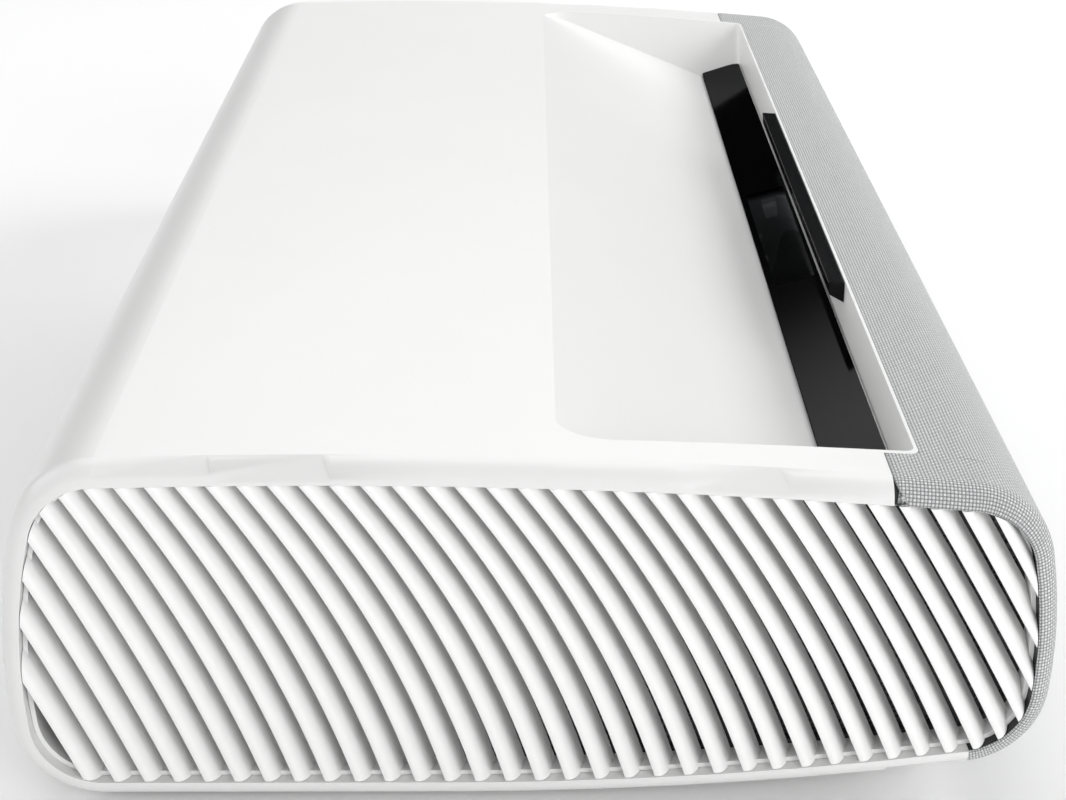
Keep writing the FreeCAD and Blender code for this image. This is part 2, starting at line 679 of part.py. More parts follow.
def mirror_chamber():
    """Black light box between lens and pane. Its front wall is dished to seat the mirror."""
    x0, x1 = OPTIC_X - 68.0, OPTIC_X + 68.0
    wall = 2.4
    seat = Part.makeSphere(MIRROR_RADIUS + MIRROR_THICK + 0.05, MIRROR_CENTRE)
    skin = Part.makeSphere(MIRROR_RADIUS + MIRROR_THICK + 0.05 + wall, MIRROR_CENTRE)
    outside = box(x0, x1, -160, -50, 19, 100).common(skin.fuse(box(x0, x1, -98, -50, 0, 110)))
    room_zone = box(x0 + wall, x1 - wall, -160, -50 - wall, 19 + wall, 101)
    room = room_zone.common(seat.fuse(box(x0, x1, -98 + wall, -50, 0, 110)))
    chamber = outside.cut(room).cut(back_rod(BARREL_RADIUS + 0.1, -40.0, -60.0))
    return chamber.common(body(WALL + 3.0, -HALF_LENGTH, HALF_LENGTH)).cut(CHANNEL_CLEAR)


# ---- light engine -----------------------------------------------------------------------------
ENGINE = (-95.0, 55.0, 58.0, 128.0, 14.0, 84.0)


def lid_screw_places():
    x0, x1, y0, y1 = ENGINE[:4]
    return [(x, y) for x in (x0 + 7, x1 - 7) for y in (y0 + 7, y1 - 7)]


def engine_housing():
    """Cast tray with cooling ribs on its left side and a port for the lens."""
    x0, x1, y0, y1, z0, z1 = ENGINE
    tray = box(*ENGINE).cut(box(x0 + 3, x1 - 3, y0 + 3, y1 - 3, z0 + 3, z1 + 1))
    ribs = [box(x0 - 5, x0, y0 + 6 + 10 * k, y0 + 8 + 10 * k, z0, z1 - 4) for k in range(6)]
    posts = [rod(4.5, z1 - z0 - 2, V(x, y, z0 + 2)) for x, y in lid_screw_places()]
    bores = [rod(1.5, 9.0, V(x, y, z1 - 9)) for x, y in lid_screw_places()]
    port = back_rod(24.0, y0 - 1, y0 + 4)
    laser_ports = [rod(8.0, 6.0, V(x1 - 4, 93.0, z), X_AXIS) for z in (32.0, 66.0)]
    return tray.multiFuse(ribs + posts + optic_stands()).cut(port).cut(all_of(laser_ports + bores))


def engine_lid():
    x0, x1, y0, y1 = ENGINE[:4]
    z1 = ENGINE[5]
    lid = rounded_box(x0, x1, y0, y1, z1 + 0.05, z1 + 2.5, 4.0)
    return lid.cut(all_of([rod(1.6, 6.0, V(x, y, z1 - 1)) for x, y in lid_screw_places()]))


def laser_modules():
    x1 = ENGINE[1]
    blocks = []
    for z in (32.0, 66.0):
        block = box(x1 + 0.1, x1 + 14, 78, 108, z - 13, z + 13)
        blocks.append(block.fuse(rod(7.6, 8.0, V(x1 - 5, 93.0, z), X_AXIS)))
    return all_of(blocks)


WHEEL = V(-60.0, 96.0, 48.0)


def phosphor_wheel():
    """Coated disc on a hub that spins while the lasers are on."""
    disc = rod(25.0, 1.2, WHEEL, X_AXIS)
    hub = rod(9.0, 4.0, WHEEL - V(1.4, 0, 0), X_AXIS)
    shaft = rod(1.5, 8.0, WHEEL - V(9.4, 0, 0), X_AXIS)
    return join([disc, hub, shaft])


def wheel_motor():
    """Motor can on a bracket that stands on the floor of the light engine."""
    can = rod(11.0, 12.0, WHEEL - V(15.0, 0, 0), X_AXIS)
    stand = box(WHEEL.x - 15, WHEEL.x - 9, WHEEL.y - 8, WHEEL.y + 8, 17.05, WHEEL.z)
    bore = rod(1.5 + RUNNING_CLEARANCE, 8.0, WHEEL - V(10.4, 0, 0), X_AXIS)
    return can.fuse(stand).cut(bore)


def relay_lenses():
    """Two condenser lenses and the light tunnel in line with the projection lens."""
    lenses = [rod(13.0, 5.0, V(OPTIC_X, y, OPTIC_Z), Y_AXIS) for y in (66.0, 80.0)]
    tunnel = box(-46, -38, 92, 100, 46, 54).cut(box(-47, -37, 93.5, 98.5, 47.5, 52.5))
    return all_of(lenses + [tunnel])


def optic_stands():
    """Stands that hold the condenser lenses and the light tunnel over the tray's floor."""
    floor = ENGINE[4] + 1.0
    stands = []
    for y in (66.0, 80.0):
        ring = tube(15.0, 13.05, 4.0, V(OPTIC_X, y + 0.5, OPTIC_Z), Y_AXIS)
        post = box(OPTIC_X - 5, OPTIC_X + 5, y + 0.5, y + 4.5, floor, OPTIC_Z - 14)
        stands.append(ring.fuse(post))
    stands.append(box(-46, -38, 92, 100, floor, 45.95))
    return stands


def imager_board():
    """Small board with the imaging chip at the back wall of the light engine."""
    board = box(-45, 5, 128.2, 129.8, 24, 78)
    chip = box(-32, -8, 129.8, 132.2, 40, 60)
    return board.fuse(chip).removeSplitter()


# ---- cooling ----------------------------------------------------------------------------------
PIPE_RADIUS = 3.0
PIPE_BEND = 14.0
FIN_YS = [60.0 + 4.0 * k for k in range(18)]
PIPE_LANES = [(236.0, 32.0), (252.0, 50.0), (268.0, 68.0)]
PLATE_X = 77.0
PIPE_RUN_Y = 42.0


def heat_pipe(lane_x, z, radius=PIPE_RADIUS):
    """A copper pipe out of the cold plate, round two bends and through the fins."""
    bend = PIPE_BEND
    corner = bend * (1 - math.sqrt(0.5))
    x0, x1 = PLATE_X, lane_x
    y0 = PIPE_RUN_Y
    path = Part.Wire([
        Part.LineSegment(V(x0, 122, z), V(x0, y0 + bend, z)).toShape(),
        Part.Arc(V(x0, y0 + bend, z), V(x0 + corner, y0 + corner, z), V(x0 + bend, y0, z)).toShape(),
        Part.LineSegment(V(x0 + bend, y0, z), V(x1 - bend, y0, z)).toShape(),
        Part.Arc(V(x1 - bend, y0, z), V(x1 - corner, y0 + corner, z), V(x1, y0 + bend, z)).toShape(),
        Part.LineSegment(V(x1, y0 + bend, z), V(x1, 130, z)).toShape(),
    ])
    start = Part.Wire(Part.makeCircle(radius, V(x0, 122, z), Y_AXIS))
    return path.makePipeShell([start], True, False)


def heat_pipes():
    return all_of([heat_pipe(x, z) for x, z in PIPE_LANES])


def cold_plate():
    plate = box(PLATE_X - 7.8, PLATE_X + 4.5, 62, 124, 18, 82)
    return plate.cut(all_of([heat_pipe(x, z, PIPE_RADIUS + 0.04) for x, z in PIPE_LANES]))


def cooling_fins():
    """Stack of thin fins between the heat pipes and the exhaust fans."""
    holes = all_of([rod(PIPE_RADIUS + 0.04, 90.0, V(x, 50, z), Y_AXIS) for x, z in PIPE_LANES])
    return all_of([box(224, 282, y, y + 0.8, 18, 86).cut(holes) for y in FIN_YS])


def fan_frame(y):
    x = FAN_X
    half = FAN_SIZE / 2
    frame = rounded_box(x, x + FAN_THICK, y - half, y + half, FAN_Z - half, FAN_Z + half, 4.0, X_AXIS)
    throat = rod(half - 2.0, FAN_THICK, V(x, y, FAN_Z), X_AXIS)
    ring = frame.cut(throat)
    seat = rod(15.0, 3.0, V(x + FAN_THICK - 3, y, FAN_Z), X_AXIS)
    struts = []
    for k in range(4):
        strut = box(x + FAN_THICK - 3, x + FAN_THICK, y - 1.5, y + 1.5, FAN_Z + 10, FAN_Z + half - 1)
        strut.rotate(V(x, y, FAN_Z), X_AXIS, 45 + 90 * k)
        struts.append(strut)
    holes = []
    for sy in (-1, 1):
        for sz in (-1, 1):
            place = V(x - 1, y + sy * (half - 4.5), FAN_Z + sz * (half - 4.5))
            holes.append(rod(2.0, FAN_THICK + 2, place, X_AXIS))
    spindle_hole = rod(1.5 + RUNNING_CLEARANCE, 4.0, V(x + FAN_THICK - 3.5, y, FAN_Z), X_AXIS)
    return ring.multiFuse([seat] + struts).cut(all_of(holes)).cut(spindle_hole)


def fan_rotor(y):
    """Hub with swept blades, on a short spindle in the frame's seat."""
    x = FAN_X
    hub = rod(14.5, 15.0, V(x + 2, y, FAN_Z), X_AXIS)
    hub = round_edges(hub, 1.5, lambda e: e.CenterOfMass.x < x + 3)
    spindle = rod(1.5, 5.0, V(x + 16.5, y, FAN_Z), X_AXIS)
    parts = [hub, spindle]
    for k in range(FAN_BLADES):
        blade = box(-8.5, 8.5, -0.7, 0.7, 12.5, FAN_SIZE / 2 - 3.4)
        blade.rotate(ORIGIN, Z_AXIS, 38)
        blade.translate(V(x + 9.5, y, FAN_Z))
        blade.rotate(V(x, y, FAN_Z), X_AXIS, 360.0 * k / FAN_BLADES)
        parts.append(blade)
    return join(parts)


def fan_frames():
    return all_of([fan_frame(y) for y in FAN_YS])


# ---- speakers ---------------------------------------------------------------------------------
BOX_FRONT_Y = -150.0


def speaker_box(x0, x1, places):
    """Closed enclosure with round holes for its drivers and a dent over the levelling foot."""
    wall = 2.5
    front, back, z0, z1 = BOX_FRONT_Y, -62.0, 20.5, 86.0
    shape = rounded_box(x0, x1, front, back, z0, z1, 6.0)
    hollow = rounded_box(x0 + wall, x1 - wall, front + wall, back - wall, z0 + wall, z1 - wall, 4.0)
    foot = V(math.copysign(FOOT_X, x0), FRONT_FOOT_Y, z0 - 1)
    shape = shape.cut(hollow.cut(rod(10.0 + wall, 19.0 + wall, foot)))
    holes = [rod(radius, 6.0, V(x, front - 1, z), Y_AXIS) for x, z, radius in places]
    return shape.cut(all_of(holes + [rod(10.0, 19.0, foot)]))


def speaker_boxes():
    left = speaker_box(-312, -152, [(-245, 52, 28.0), (-178, 52, 13.0)])
    right = speaker_box(112, 286, [(205, 52, 28.0), (138, 52, 13.0)])
    return all_of([left, right])


def turned(profile, centre_x, centre_z, front_y):
    """A solid of revolution about a line along Y, from (radius, depth) points."""
    points = [V(centre_x + r, front_y + d, centre_z) for r, d in profile]
    face = Part.Face(Part.makePolygon(points + points[:1]))
    return face.revolve(V(centre_x, front_y, centre_z), Y_AXIS, 360)


def woofer_baskets():
    flare = [(27.8, 2.5), (16, 20), (16, 24), (14, 24), (14, 19), (25.5, 2.3)]
    profile = [(33, 0), (33, 2.5)] + flare + [(25.5, 0)]
    return all_of([turned(profile, x, z, BOX_FRONT_Y - 2.6) for x, z in woofer_places()])


def woofer_cones():
    profile = [(25.3, 1.2), (22, -0.2), (19.5, 1.4), (9.5, 11.5), (4, 9.6), (0, 9), (0, 10),
               (4, 10.8), (9.3, 13), (19.9, 3), (22, 1.0), (25.3, 2.0)]
    return all_of([turned(profile, x, z, BOX_FRONT_Y - 2.6) for x, z in woofer_places()])


def woofer_magnets():
    return all_of([rod(20.0, 12.0, V(x, BOX_FRONT_Y + 21.5, z), Y_AXIS) for x, z in woofer_places()])


def tweeters():
    dome = [(0, 12), (0, -1.6), (4, -1.0), (7.5, 1.0), (9, 0)]
    profile = [(16, 0), (16, 2.4), (12.8, 2.4), (12.8, 12)] + dome
    return all_of([turned(profile, x, z, BOX_FRONT_Y - 2.5) for x, z in tweeter_places()])


# ---- power supply and main board --------------------------------------------------------------
def power_board():
    return box(-306, -156, 30, 126, 14, 15.6)


def power_capacitors():
    places = [(-285, 50, 11), (-285, 78, 11), (-255, 45, 8), (-205, 112, 8), (-180, 112, 8)]
    return all_of([rod(r, 30.0, V(x, y, 15.65)) for x, y, r in places])


def power_transformer():
    core = box(-245, -205, 60, 96, 15.65, 49)
    windows = [box(-246, -204, 66, 74, 22, 43), box(-246, -204, 82, 90, 22, 43)]
    winding = box(-242, -208, 65, 91, 23, 42).cut(box(-250, -200, 74.1, 81.9, 10, 60))
    return core.cut(all_of(windows)).fuse(winding).removeSplitter()


def power_heat_sinks():
    sinks = []
    for x in (-262.0, -190.0):
        spine = box(x - 1.5, x + 1.5, 62, 104, 15.65, 52)
        fins = [box(x - 8, x + 8, 62 + 8 * k, 63.6 + 8 * k, 22, 52) for k in range(6)]
        sinks.append(join([spine] + fins))
    return all_of(sinks)


def main_board():
    return box(-104, 126, BOARD_Y, BOARD_Y + 1.6, 18, 98)


def board_chips():
    """Processors and memory on the front of the main board."""
    chips = []
    for x, z, half in ((103, 56, 16), (76, 86, 6), (62, 58, 7), (-80, 84, 9), (20, 88, 6)):
        chips.append(box(x - half, x + half, BOARD_Y - 2.2, BOARD_Y - 0.05, z - half, z + half))
    return all_of(chips)


def board_heat_sink():
    plate = box(85, 121, BOARD_Y - 5.5, BOARD_Y - 2.25, 38, 74)
    fins = [box(85 + 5 * k, 86.4 + 5 * k, BOARD_Y - 16, BOARD_Y - 5.5, 38, 74) for k in range(8)]
    return join([plate] + fins)


# ---- rear panel -------------------------------------------------------------------------------
HDMI_XS = (38.0, 66.0, 94.0)
USB_XS = (-12.0, 12.0)
LAN_X = -38.0
OPTICAL_X = -60.0
INLET_X = -124.0
SOCKET_FACE_Y = TRAY_FLOOR_Y + TRAY_WALL + 0.4


def pocket(x, z, width, height, y0, y1, corner=0.6):
    """A block along Y round a socket's centre."""
    half_w, half_h = width / 2, height / 2
    return rounded_box(x - half_w, x + half_w, y0, y1, z - half_h, z + half_h, corner, Y_AXIS)


def io_tray():
    """Recessed tray for the sockets, flanged against the inside of the back wall."""
    x0, x1, z0, z1 = TRAY_X0 + 0.2, TRAY_X1 - 0.2, TRAY_Z0 + 0.2, TRAY_Z1 - 0.2
    w = TRAY_WALL
    outside = rounded_box(x0, x1, TRAY_FLOOR_Y, 180, z0, z1, 5.8, Y_AXIS)
    inside = rounded_box(x0 + w, x1 - w, TRAY_FLOOR_Y + w, 181, z0 + w, z1 - w, 4.2, Y_AXIS)
    flange_zone = rounded_box(x0 - 6, x1 + 6, 150, 180, z0 - 6, z1 + 6, 8.0, Y_AXIS)
    reach = HALF_LENGTH
    flange = body(WALL + 0.1, -reach, reach).cut(body(WALL + 1.9, -reach, reach)).common(flange_zone)
    tray = outside.common(body(0.5, -reach, reach)).fuse(flange).cut(inside)
    y0, y1 = TRAY_FLOOR_Y - 1, TRAY_FLOOR_Y + w + 1
    holes = [pocket(x, SOCKET_Z, 15.4, 6.2, y0, y1) for x in HDMI_XS]
    holes += [pocket(x, SOCKET_Z, 13.6, 6.3, y0, y1) for x in USB_XS]
    holes.append(pocket(LAN_X, SOCKET_Z, 16.4, 14.0, y0, y1))
    holes.append(pocket(OPTICAL_X, SOCKET_Z, 10.4, 10.4, y0, y1))
    holes.append(pocket(INLET_X, SOCKET_Z, 28.4, 21.4, y0, y1, 2.0))
    holes.append(rod(BUTTON_RADIUS + 0.25, w + 2, V(BUTTON_X, y0, SOCKET_Z), Y_AXIS))
    return tray.cut(all_of(holes))


def hdmi_shells():
    """Metal mouths with the two slanted lower corners of the connector."""
    shells = []
    for x in HDMI_XS:
        y0, y1 = BOARD_Y + 1.7, SOCKET_FACE_Y

        def mouth(grow, x=x):
            w, h = 7.0 + grow, 2.3 + grow
            loop = [(-w, h), (w, h), (w, -0.6), (w - 1.7, -h), (1.7 - w, -h), (-w, -0.6)]
            return [V(x + a, 0, SOCKET_Z + b) for a, b in loop]

        outer = mouth(0.5)
        inner = mouth(0.0)
        solid = Part.Face(Part.makePolygon(outer + outer[:1])).extrude(V(0, y1 - y0, 0))
        hollow = Part.Face(Part.makePolygon(inner + inner[:1])).extrude(V(0, y1 - y0, 0))
        solid.translate(V(0, y0, 0))
        hollow.translate(V(0, y0 + 1.5, 0))
        shells.append(solid.cut(hollow))
    return all_of(shells)


def socket_tongue(x, width, height, dz=0.0):
    return box(x - width / 2, x + width / 2, BOARD_Y + 3.3, SOCKET_FACE_Y - 2.5,
               SOCKET_Z + dz - height / 2, SOCKET_Z + dz + height / 2)


def hdmi_tongues():
    return all_of([socket_tongue(x, 11.0, 1.0, 0.3) for x in HDMI_XS])


def usb_shells():
    y0, y1 = BOARD_Y + 1.7, SOCKET_FACE_Y
    solids = []
    for x in USB_XS:
        outer = pocket(x, SOCKET_Z, 13.2, 5.9, y0, y1, 0.5)
        solids.append(outer.cut(pocket(x, SOCKET_Z, 12.4, 5.1, y0 + 1.5, y1 + 1, 0.3)))
    return all_of(solids)


def usb_tongues():
    return all_of([socket_tongue(x, 11.4, 1.8, 1.2) for x in USB_XS])


def lan_socket():
    """Network jack: a square mouth with the latch notch below it."""
    y0, y1 = BOARD_Y + 1.7, SOCKET_FACE_Y
    block = pocket(LAN_X, SOCKET_Z, 16.0, 13.6, y0, y1, 0.4)
    mouth = pocket(LAN_X, SOCKET_Z + 0.8, 11.8, 8.0, y0 + 2, y1 + 1, 0.3)
    notch = pocket(LAN_X, SOCKET_Z - 4.2, 6.2, 3.0, y0 + 8, y1 + 1, 0.3)
    return block.cut(mouth).cut(notch)


def lan_contacts():
    """Eight sprung wires in the roof of the network jack."""
    wires = []
    for k in range(8):
        x = LAN_X - 3.57 + 1.02 * k
        wires.append(box(x - 0.2, x + 0.2, BOARD_Y + 3.8, SOCKET_FACE_Y - 4, SOCKET_Z + 4.1, SOCKET_Z + 4.7))
    return all_of(wires)


def optical_socket():
    """Square digital-sound jack. Its mouth is closed by a flap."""
    y0, y1 = BOARD_Y + 1.7, SOCKET_FACE_Y
    block = pocket(OPTICAL_X, SOCKET_Z, 10.0, 10.0, y0, y1, 0.4)
    mouth = pocket(OPTICAL_X, SOCKET_Z, 7.4, 7.4, y0 + 4, y1 + 1, 0.3)
    pin_bores = rod(0.5, 9.4, V(OPTICAL_X - 4.7, SOCKET_FACE_Y - 1.4, SOCKET_Z + 3.0), X_AXIS)
    return block.cut(mouth).cut(pin_bores)


def optical_flap():
    """Flap on a thin pin along its top edge, which a plug pushes inwards."""
    y = SOCKET_FACE_Y - 1.4
    plate = box(OPTICAL_X - 3.5, OPTICAL_X + 3.5, y - 0.35, y + 0.35, SOCKET_Z - 3.5, SOCKET_Z + 3.0)
    knuckle = rod(0.6, 7.0, V(OPTICAL_X - 3.5, y, SOCKET_Z + 3.0), X_AXIS)
    pin = rod(0.46, 9.0, V(OPTICAL_X - 4.5, y, SOCKET_Z + 3.0), X_AXIS)
    return join([plate, knuckle, pin])


def power_inlet():
    """Three-blade mains inlet."""
    y0, y1 = 131.0, SOCKET_FACE_Y + 0.6
    block = pocket(INLET_X, SOCKET_Z, 28.0, 21.0, y0, y1, 2.0)
    cup = pocket(INLET_X, SOCKET_Z, 24.6, 17.2, y0 + 4, y1 + 1, 1.5)
    return block.cut(cup)


def inlet_blades():
    places = [(-7.0, -2.0), (0.0, 2.0), (7.0, -2.0)]
    blades = []
    for dx, dz in places:
        x, z = INLET_X + dx, SOCKET_Z + dz
        blades.append(box(x - 1, x + 1, 135.05, SOCKET_FACE_Y - 2, z - 2, z + 2))
    return all_of(blades)


def power_button():
    """Round cap that sinks a little when pressed, with a collar that keeps it in."""
    cap = rod(BUTTON_RADIUS, 6.0, V(BUTTON_X, TRAY_FLOOR_Y - 3.2, SOCKET_Z), Y_AXIS)
    cap = round_edges(cap, 0.7, lambda e: e.CenterOfMass.y > TRAY_FLOOR_Y + 2)
    collar = rod(BUTTON_RADIUS + 1.6, 1.2, V(BUTTON_X, TRAY_FLOOR_Y - 1.3, SOCKET_Z), Y_AXIS)
    return cap.fuse(collar).removeSplitter()


def button_switch():
    """Tact switch on the main board behind the cap."""
    y = BOARD_Y + 1.65
    block = box(BUTTON_X - 4, BUTTON_X + 4, y, y + 7.0, SOCKET_Z - 4, SOCKET_Z + 4)
    return block.fuse(rod(1.8, 3.9, V(BUTTON_X, y + 7.0, SOCKET_Z), Y_AXIS))


# ---- feet and screws --------------------------------------------------------------------------
def foot_stem(x):
    """Screw of a front foot. It travels in the base plate's boss."""
    stem = rod(STEM_RADIUS, 26.0, V(x, FRONT_FOOT_Y, 6.5))
    return stem.cut(rod(2.0, 5.0, V(x, FRONT_FOOT_Y, 6.0)))


def foot_knob(x):
    """Knurled foot on the screw, with a stud up into it."""
    knob = rod(13.0, 6.4, V(x, FRONT_FOOT_Y, 0.0))
    knob = round_edges(knob, 0.8, lambda e: e.CenterOfMass.z < 0.1)
    notches = []
    for k in range(24):
        angle = 2 * math.pi * k / 24
        place = V(x + 13.3 * math.cos(angle), FRONT_FOOT_Y + 13.3 * math.sin(angle), 2.2)
        notches.append(rod(0.9, 5.0, place))
    knob = knob.cut(all_of(notches))
    return knob.fuse(rod(1.95, 3.6, V(x, FRONT_FOOT_Y, 6.4))).removeSplitter()


def rear_foot(x):
    """Rubber pad pressed into the underside."""
    pad = rod(11.0, FOOT_GAP, V(x, REAR_FOOT_Y, 0.0))
    pad = round_edges(pad, 0.8, lambda e: e.CenterOfMass.z < 0.1)
    return pad.fuse(rod(5.9, 1.0, V(x, REAR_FOOT_Y, FOOT_GAP))).removeSplitter()


def pan_screw(place, axis, head_radius, head, shank_radius, shank):
    """A screw with a domed head and a cross recess, driven along axis."""
    top = place - axis * head
    body_rod = rod(shank_radius, shank, place, axis).fuse(rod(head_radius, head, top, axis))
    arm = box(-head_radius * 0.55, head_radius * 0.55, -0.35, 0.35, 0, 1.0)
    cross = arm.fuse(box(-0.35, 0.35, -head_radius * 0.55, head_radius * 0.55, 0, 1.0))
    cross.Placement = FreeCAD.Placement(top, FreeCAD.Rotation(Z_AXIS, axis))
    return body_rod.cut(cross)


def base_screws():
    screws = []
    for x, y in base_screw_places():
        screws.append(pan_screw(V(x, y, underside_z(y) + 1.6), Z_AXIS, 2.9, 1.5, 1.45, 6.5))
    return all_of(screws)


def lid_screws():
    z = ENGINE[5] + 2.55
    down = Z_AXIS * -1
    return all_of([pan_screw(V(x, y, z), down, 2.8, 1.6, 1.4, 7.0) for x, y in lid_screw_places()])


PARTS = {
    "housing_shell": housing_shell,
    "base_plate": base_plate,
    "speaker_cloth": speaker_cloth,
    "front_baffle": front_baffle,
    "intake_grille": grille,
    "exhaust_grille": lambda: mirror_ends(grille()),
    "intake_guard": guard,
    "exhaust_guard": lambda: mirror_ends(guard()),
    "intake_filter": intake_filter,
    "pane_glass": pane_glass,
    "pane_mask": pane_mask,
    "sensor_bar": sensor_bar,
    "lens_barrel": lens_barrel,
    "lens_elements": lambda: all_of([lens_elements(), relay_lenses()]),
    "focus_ring": focus_ring,
    "focus_pinion": focus_pinion,
    "focus_motor": focus_motor,
    "focus_bracket": focus_bracket,
    "ring_clip": ring_clip,
    "concave_mirror": concave_mirror,
    "mirror_chamber": mirror_chamber,
    "engine_housing": engine_housing,
    "engine_lid": engine_lid,
    "laser_modules": laser_modules,
    "phosphor_wheel": phosphor_wheel,
    "wheel_motor": wheel_motor,
    "imager_board": imager_board,
    "heat_pipes": heat_pipes,
    "cold_plate": cold_plate,
    "cooling_fins": cooling_fins,
    "fan_frames": fan_frames,
    "fan_rotor_front": lambda: fan_rotor(FAN_YS[0]),
    "fan_rotor_middle": lambda: fan_rotor(FAN_YS[1]),
    "fan_rotor_rear": lambda: fan_rotor(FAN_YS[2]),
    "speaker_boxes": speaker_boxes,
    "woofer_baskets": woofer_baskets,
    "woofer_cones": woofer_cones,
    "woofer_magnets": woofer_magnets,
    "tweeters": tweeters,
    "power_board": power_board,
    "power_capacitors": power_capacitors,
    "power_transformer": power_transformer,
    "heat_sinks": lambda: all_of([power_heat_sinks(), board_heat_sink()]),
    "main_board": main_board,
    "board_chips": lambda: all_of([board_chips(), button_switch()]),
    "io_tray": io_tray,
    "socket_shells": lambda: all_of([hdmi_shells(), usb_shells()]),
    "socket_tongues": lambda: all_of([hdmi_tongues(), usb_tongues()]),
    "lan_socket": lan_socket,
    "optical_socket": optical_socket,
    "optical_flap": optical_flap,
    "power_inlet": power_inlet,
    "socket_contacts": lambda: all_of([inlet_blades(), lan_contacts()]),
    "power_button": power_button,
    "left_foot_stem": lambda: foot_stem(-FOOT_X),
    "left_foot_knob": lambda: foot_knob(-FOOT_X),
    "right_foot_stem": lambda: foot_stem(FOOT_X),
    "right_foot_knob": lambda: foot_knob(FOOT_X),
    "rear_feet": lambda: all_of([rear_foot(-FOOT_X), rear_foot(FOOT_X)]),
    "screws": lambda: all_of([base_screws(), lid_screws()]),
}


def main():
    os.makedirs("parts", exist_ok=True)
    for name, make in PARTS.items():
        shape = make()
        volume = sum(s.Volume for s in shape.Solids)
        state = "" if shape.isValid() else "  INVALID"
        count = len(shape.Solids)
        print(f"{name:20s} solids {count:3d}  volume {volume / 1000:9.2f} cm3{state}", flush=True)
        shape.exportStep(f"parts/{name}.step")


main()
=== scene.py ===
"""Looks of the home projector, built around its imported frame."""

import math

import bmesh
import bpy
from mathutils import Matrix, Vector
from mathutils.bvhtree import BVHTree


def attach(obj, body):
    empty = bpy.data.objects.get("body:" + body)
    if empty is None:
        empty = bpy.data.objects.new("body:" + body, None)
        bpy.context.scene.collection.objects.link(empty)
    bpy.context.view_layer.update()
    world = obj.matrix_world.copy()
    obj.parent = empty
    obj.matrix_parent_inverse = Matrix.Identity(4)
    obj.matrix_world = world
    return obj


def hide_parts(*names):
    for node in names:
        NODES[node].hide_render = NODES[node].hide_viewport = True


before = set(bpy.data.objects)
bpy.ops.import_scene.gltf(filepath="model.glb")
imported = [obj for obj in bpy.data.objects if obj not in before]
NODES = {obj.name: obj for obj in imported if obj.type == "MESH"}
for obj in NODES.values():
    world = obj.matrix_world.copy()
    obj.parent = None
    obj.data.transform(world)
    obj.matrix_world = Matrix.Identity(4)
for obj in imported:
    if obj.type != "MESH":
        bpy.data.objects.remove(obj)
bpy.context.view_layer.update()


# ---- writing node trees --------------------------------------------------------------------------
class Tree:
    """Adds and joins the nodes of one material or node group."""

    def __init__(self, tree):
        self.tree = tree

    def add(self, kind, settings=None, **inputs):
        made = self.tree.nodes.new(kind)
        for name, value in (settings or {}).items():
            setattr(made, name, value)
        for name, value in inputs.items():
            self.feed(made.inputs[name.replace("_", " ")], value)
        return made

    def feed(self, socket, value):
        if isinstance(value, bpy.types.NodeSocket):
            self.tree.links.new(value, socket)
        else:
            socket.default_value = value

    def math(self, operation, *values):
        made = self.tree.nodes.new("ShaderNodeMath")
        made.operation = operation
        for socket, value in zip(made.inputs, values):
            self.feed(socket, value)
        return made.outputs[0]

    def ramp(self, value, low, high, out_low=0.0, out_high=1.0):
        made = self.add("ShaderNodeMapRange", {"clamp": True})
        for name, number in (("Value", value), ("From Min", low), ("From Max", high),
                             ("To Min", out_low), ("To Max", out_high)):
            self.feed(made.inputs[name], number)
        return made.outputs[0]

    def blend(self, factor, first, second, mode="MIX"):
        made = self.add("ShaderNodeMix", {"data_type": "RGBA", "blend_type": mode})
        self.feed(made.inputs[0], factor)
        self.feed(made.inputs[6], first)
        self.feed(made.inputs[7], second)
        return made.outputs[2]

    def noise(self, vector, scale, detail=2.0, roughness=0.5):
        made = self.add("ShaderNodeTexNoise", Scale=scale, Detail=detail, Roughness=roughness)
        self.feed(made.inputs["Vector"], vector)
        return made.outputs["Fac"]


def node_group(name, inputs, outputs):
    """An empty shader group with its named sockets, its Tree, and its input and output nodes."""
    group = bpy.data.node_groups.new(name, "ShaderNodeTree")
    for socket_name, kind, value in inputs:
        socket = group.interface.new_socket(socket_name, in_out="INPUT", socket_type=kind)
        socket.default_value = value
    for socket_name, kind in outputs:
        group.interface.new_socket(socket_name, in_out="OUTPUT", socket_type=kind)
    tree = Tree(group)
    return group, tree, tree.add("NodeGroupInput").outputs, tree.add("NodeGroupOutput").inputs


FLOAT, COLOUR = "NodeSocketFloat", "NodeSocketColor"


def make_moulded_grain():
    """Fine grain of moulded plastic, with a slow unevenness under it."""
    group, t, given, out = node_group(
        "moulded grain",
        [("Grain Size", FLOAT, 0.0006), ("Flow Size", FLOAT, 0.08)],
        [("Height", FLOAT), ("Shade", FLOAT), ("Sheen Change", FLOAT)],
    )
    place = t.add("ShaderNodeTexCoord").outputs["Object"]
    grain = t.noise(place, t.math("DIVIDE", 1.0, given["Grain Size"]), 3.0, 0.6)
    flow = t.noise(place, t.math("DIVIDE", 1.0, given["Flow Size"]), 2.0, 0.5)
    t.feed(out["Height"], t.math("ADD", t.math("MULTIPLY", grain, 0.9), t.math("MULTIPLY", flow, 0.1)))
    t.feed(out["Shade"], t.ramp(flow, 0.3, 0.7))
    t.feed(out["Sheen Change"], t.ramp(grain, 0.3, 0.7, -0.04, 0.04))
    return group


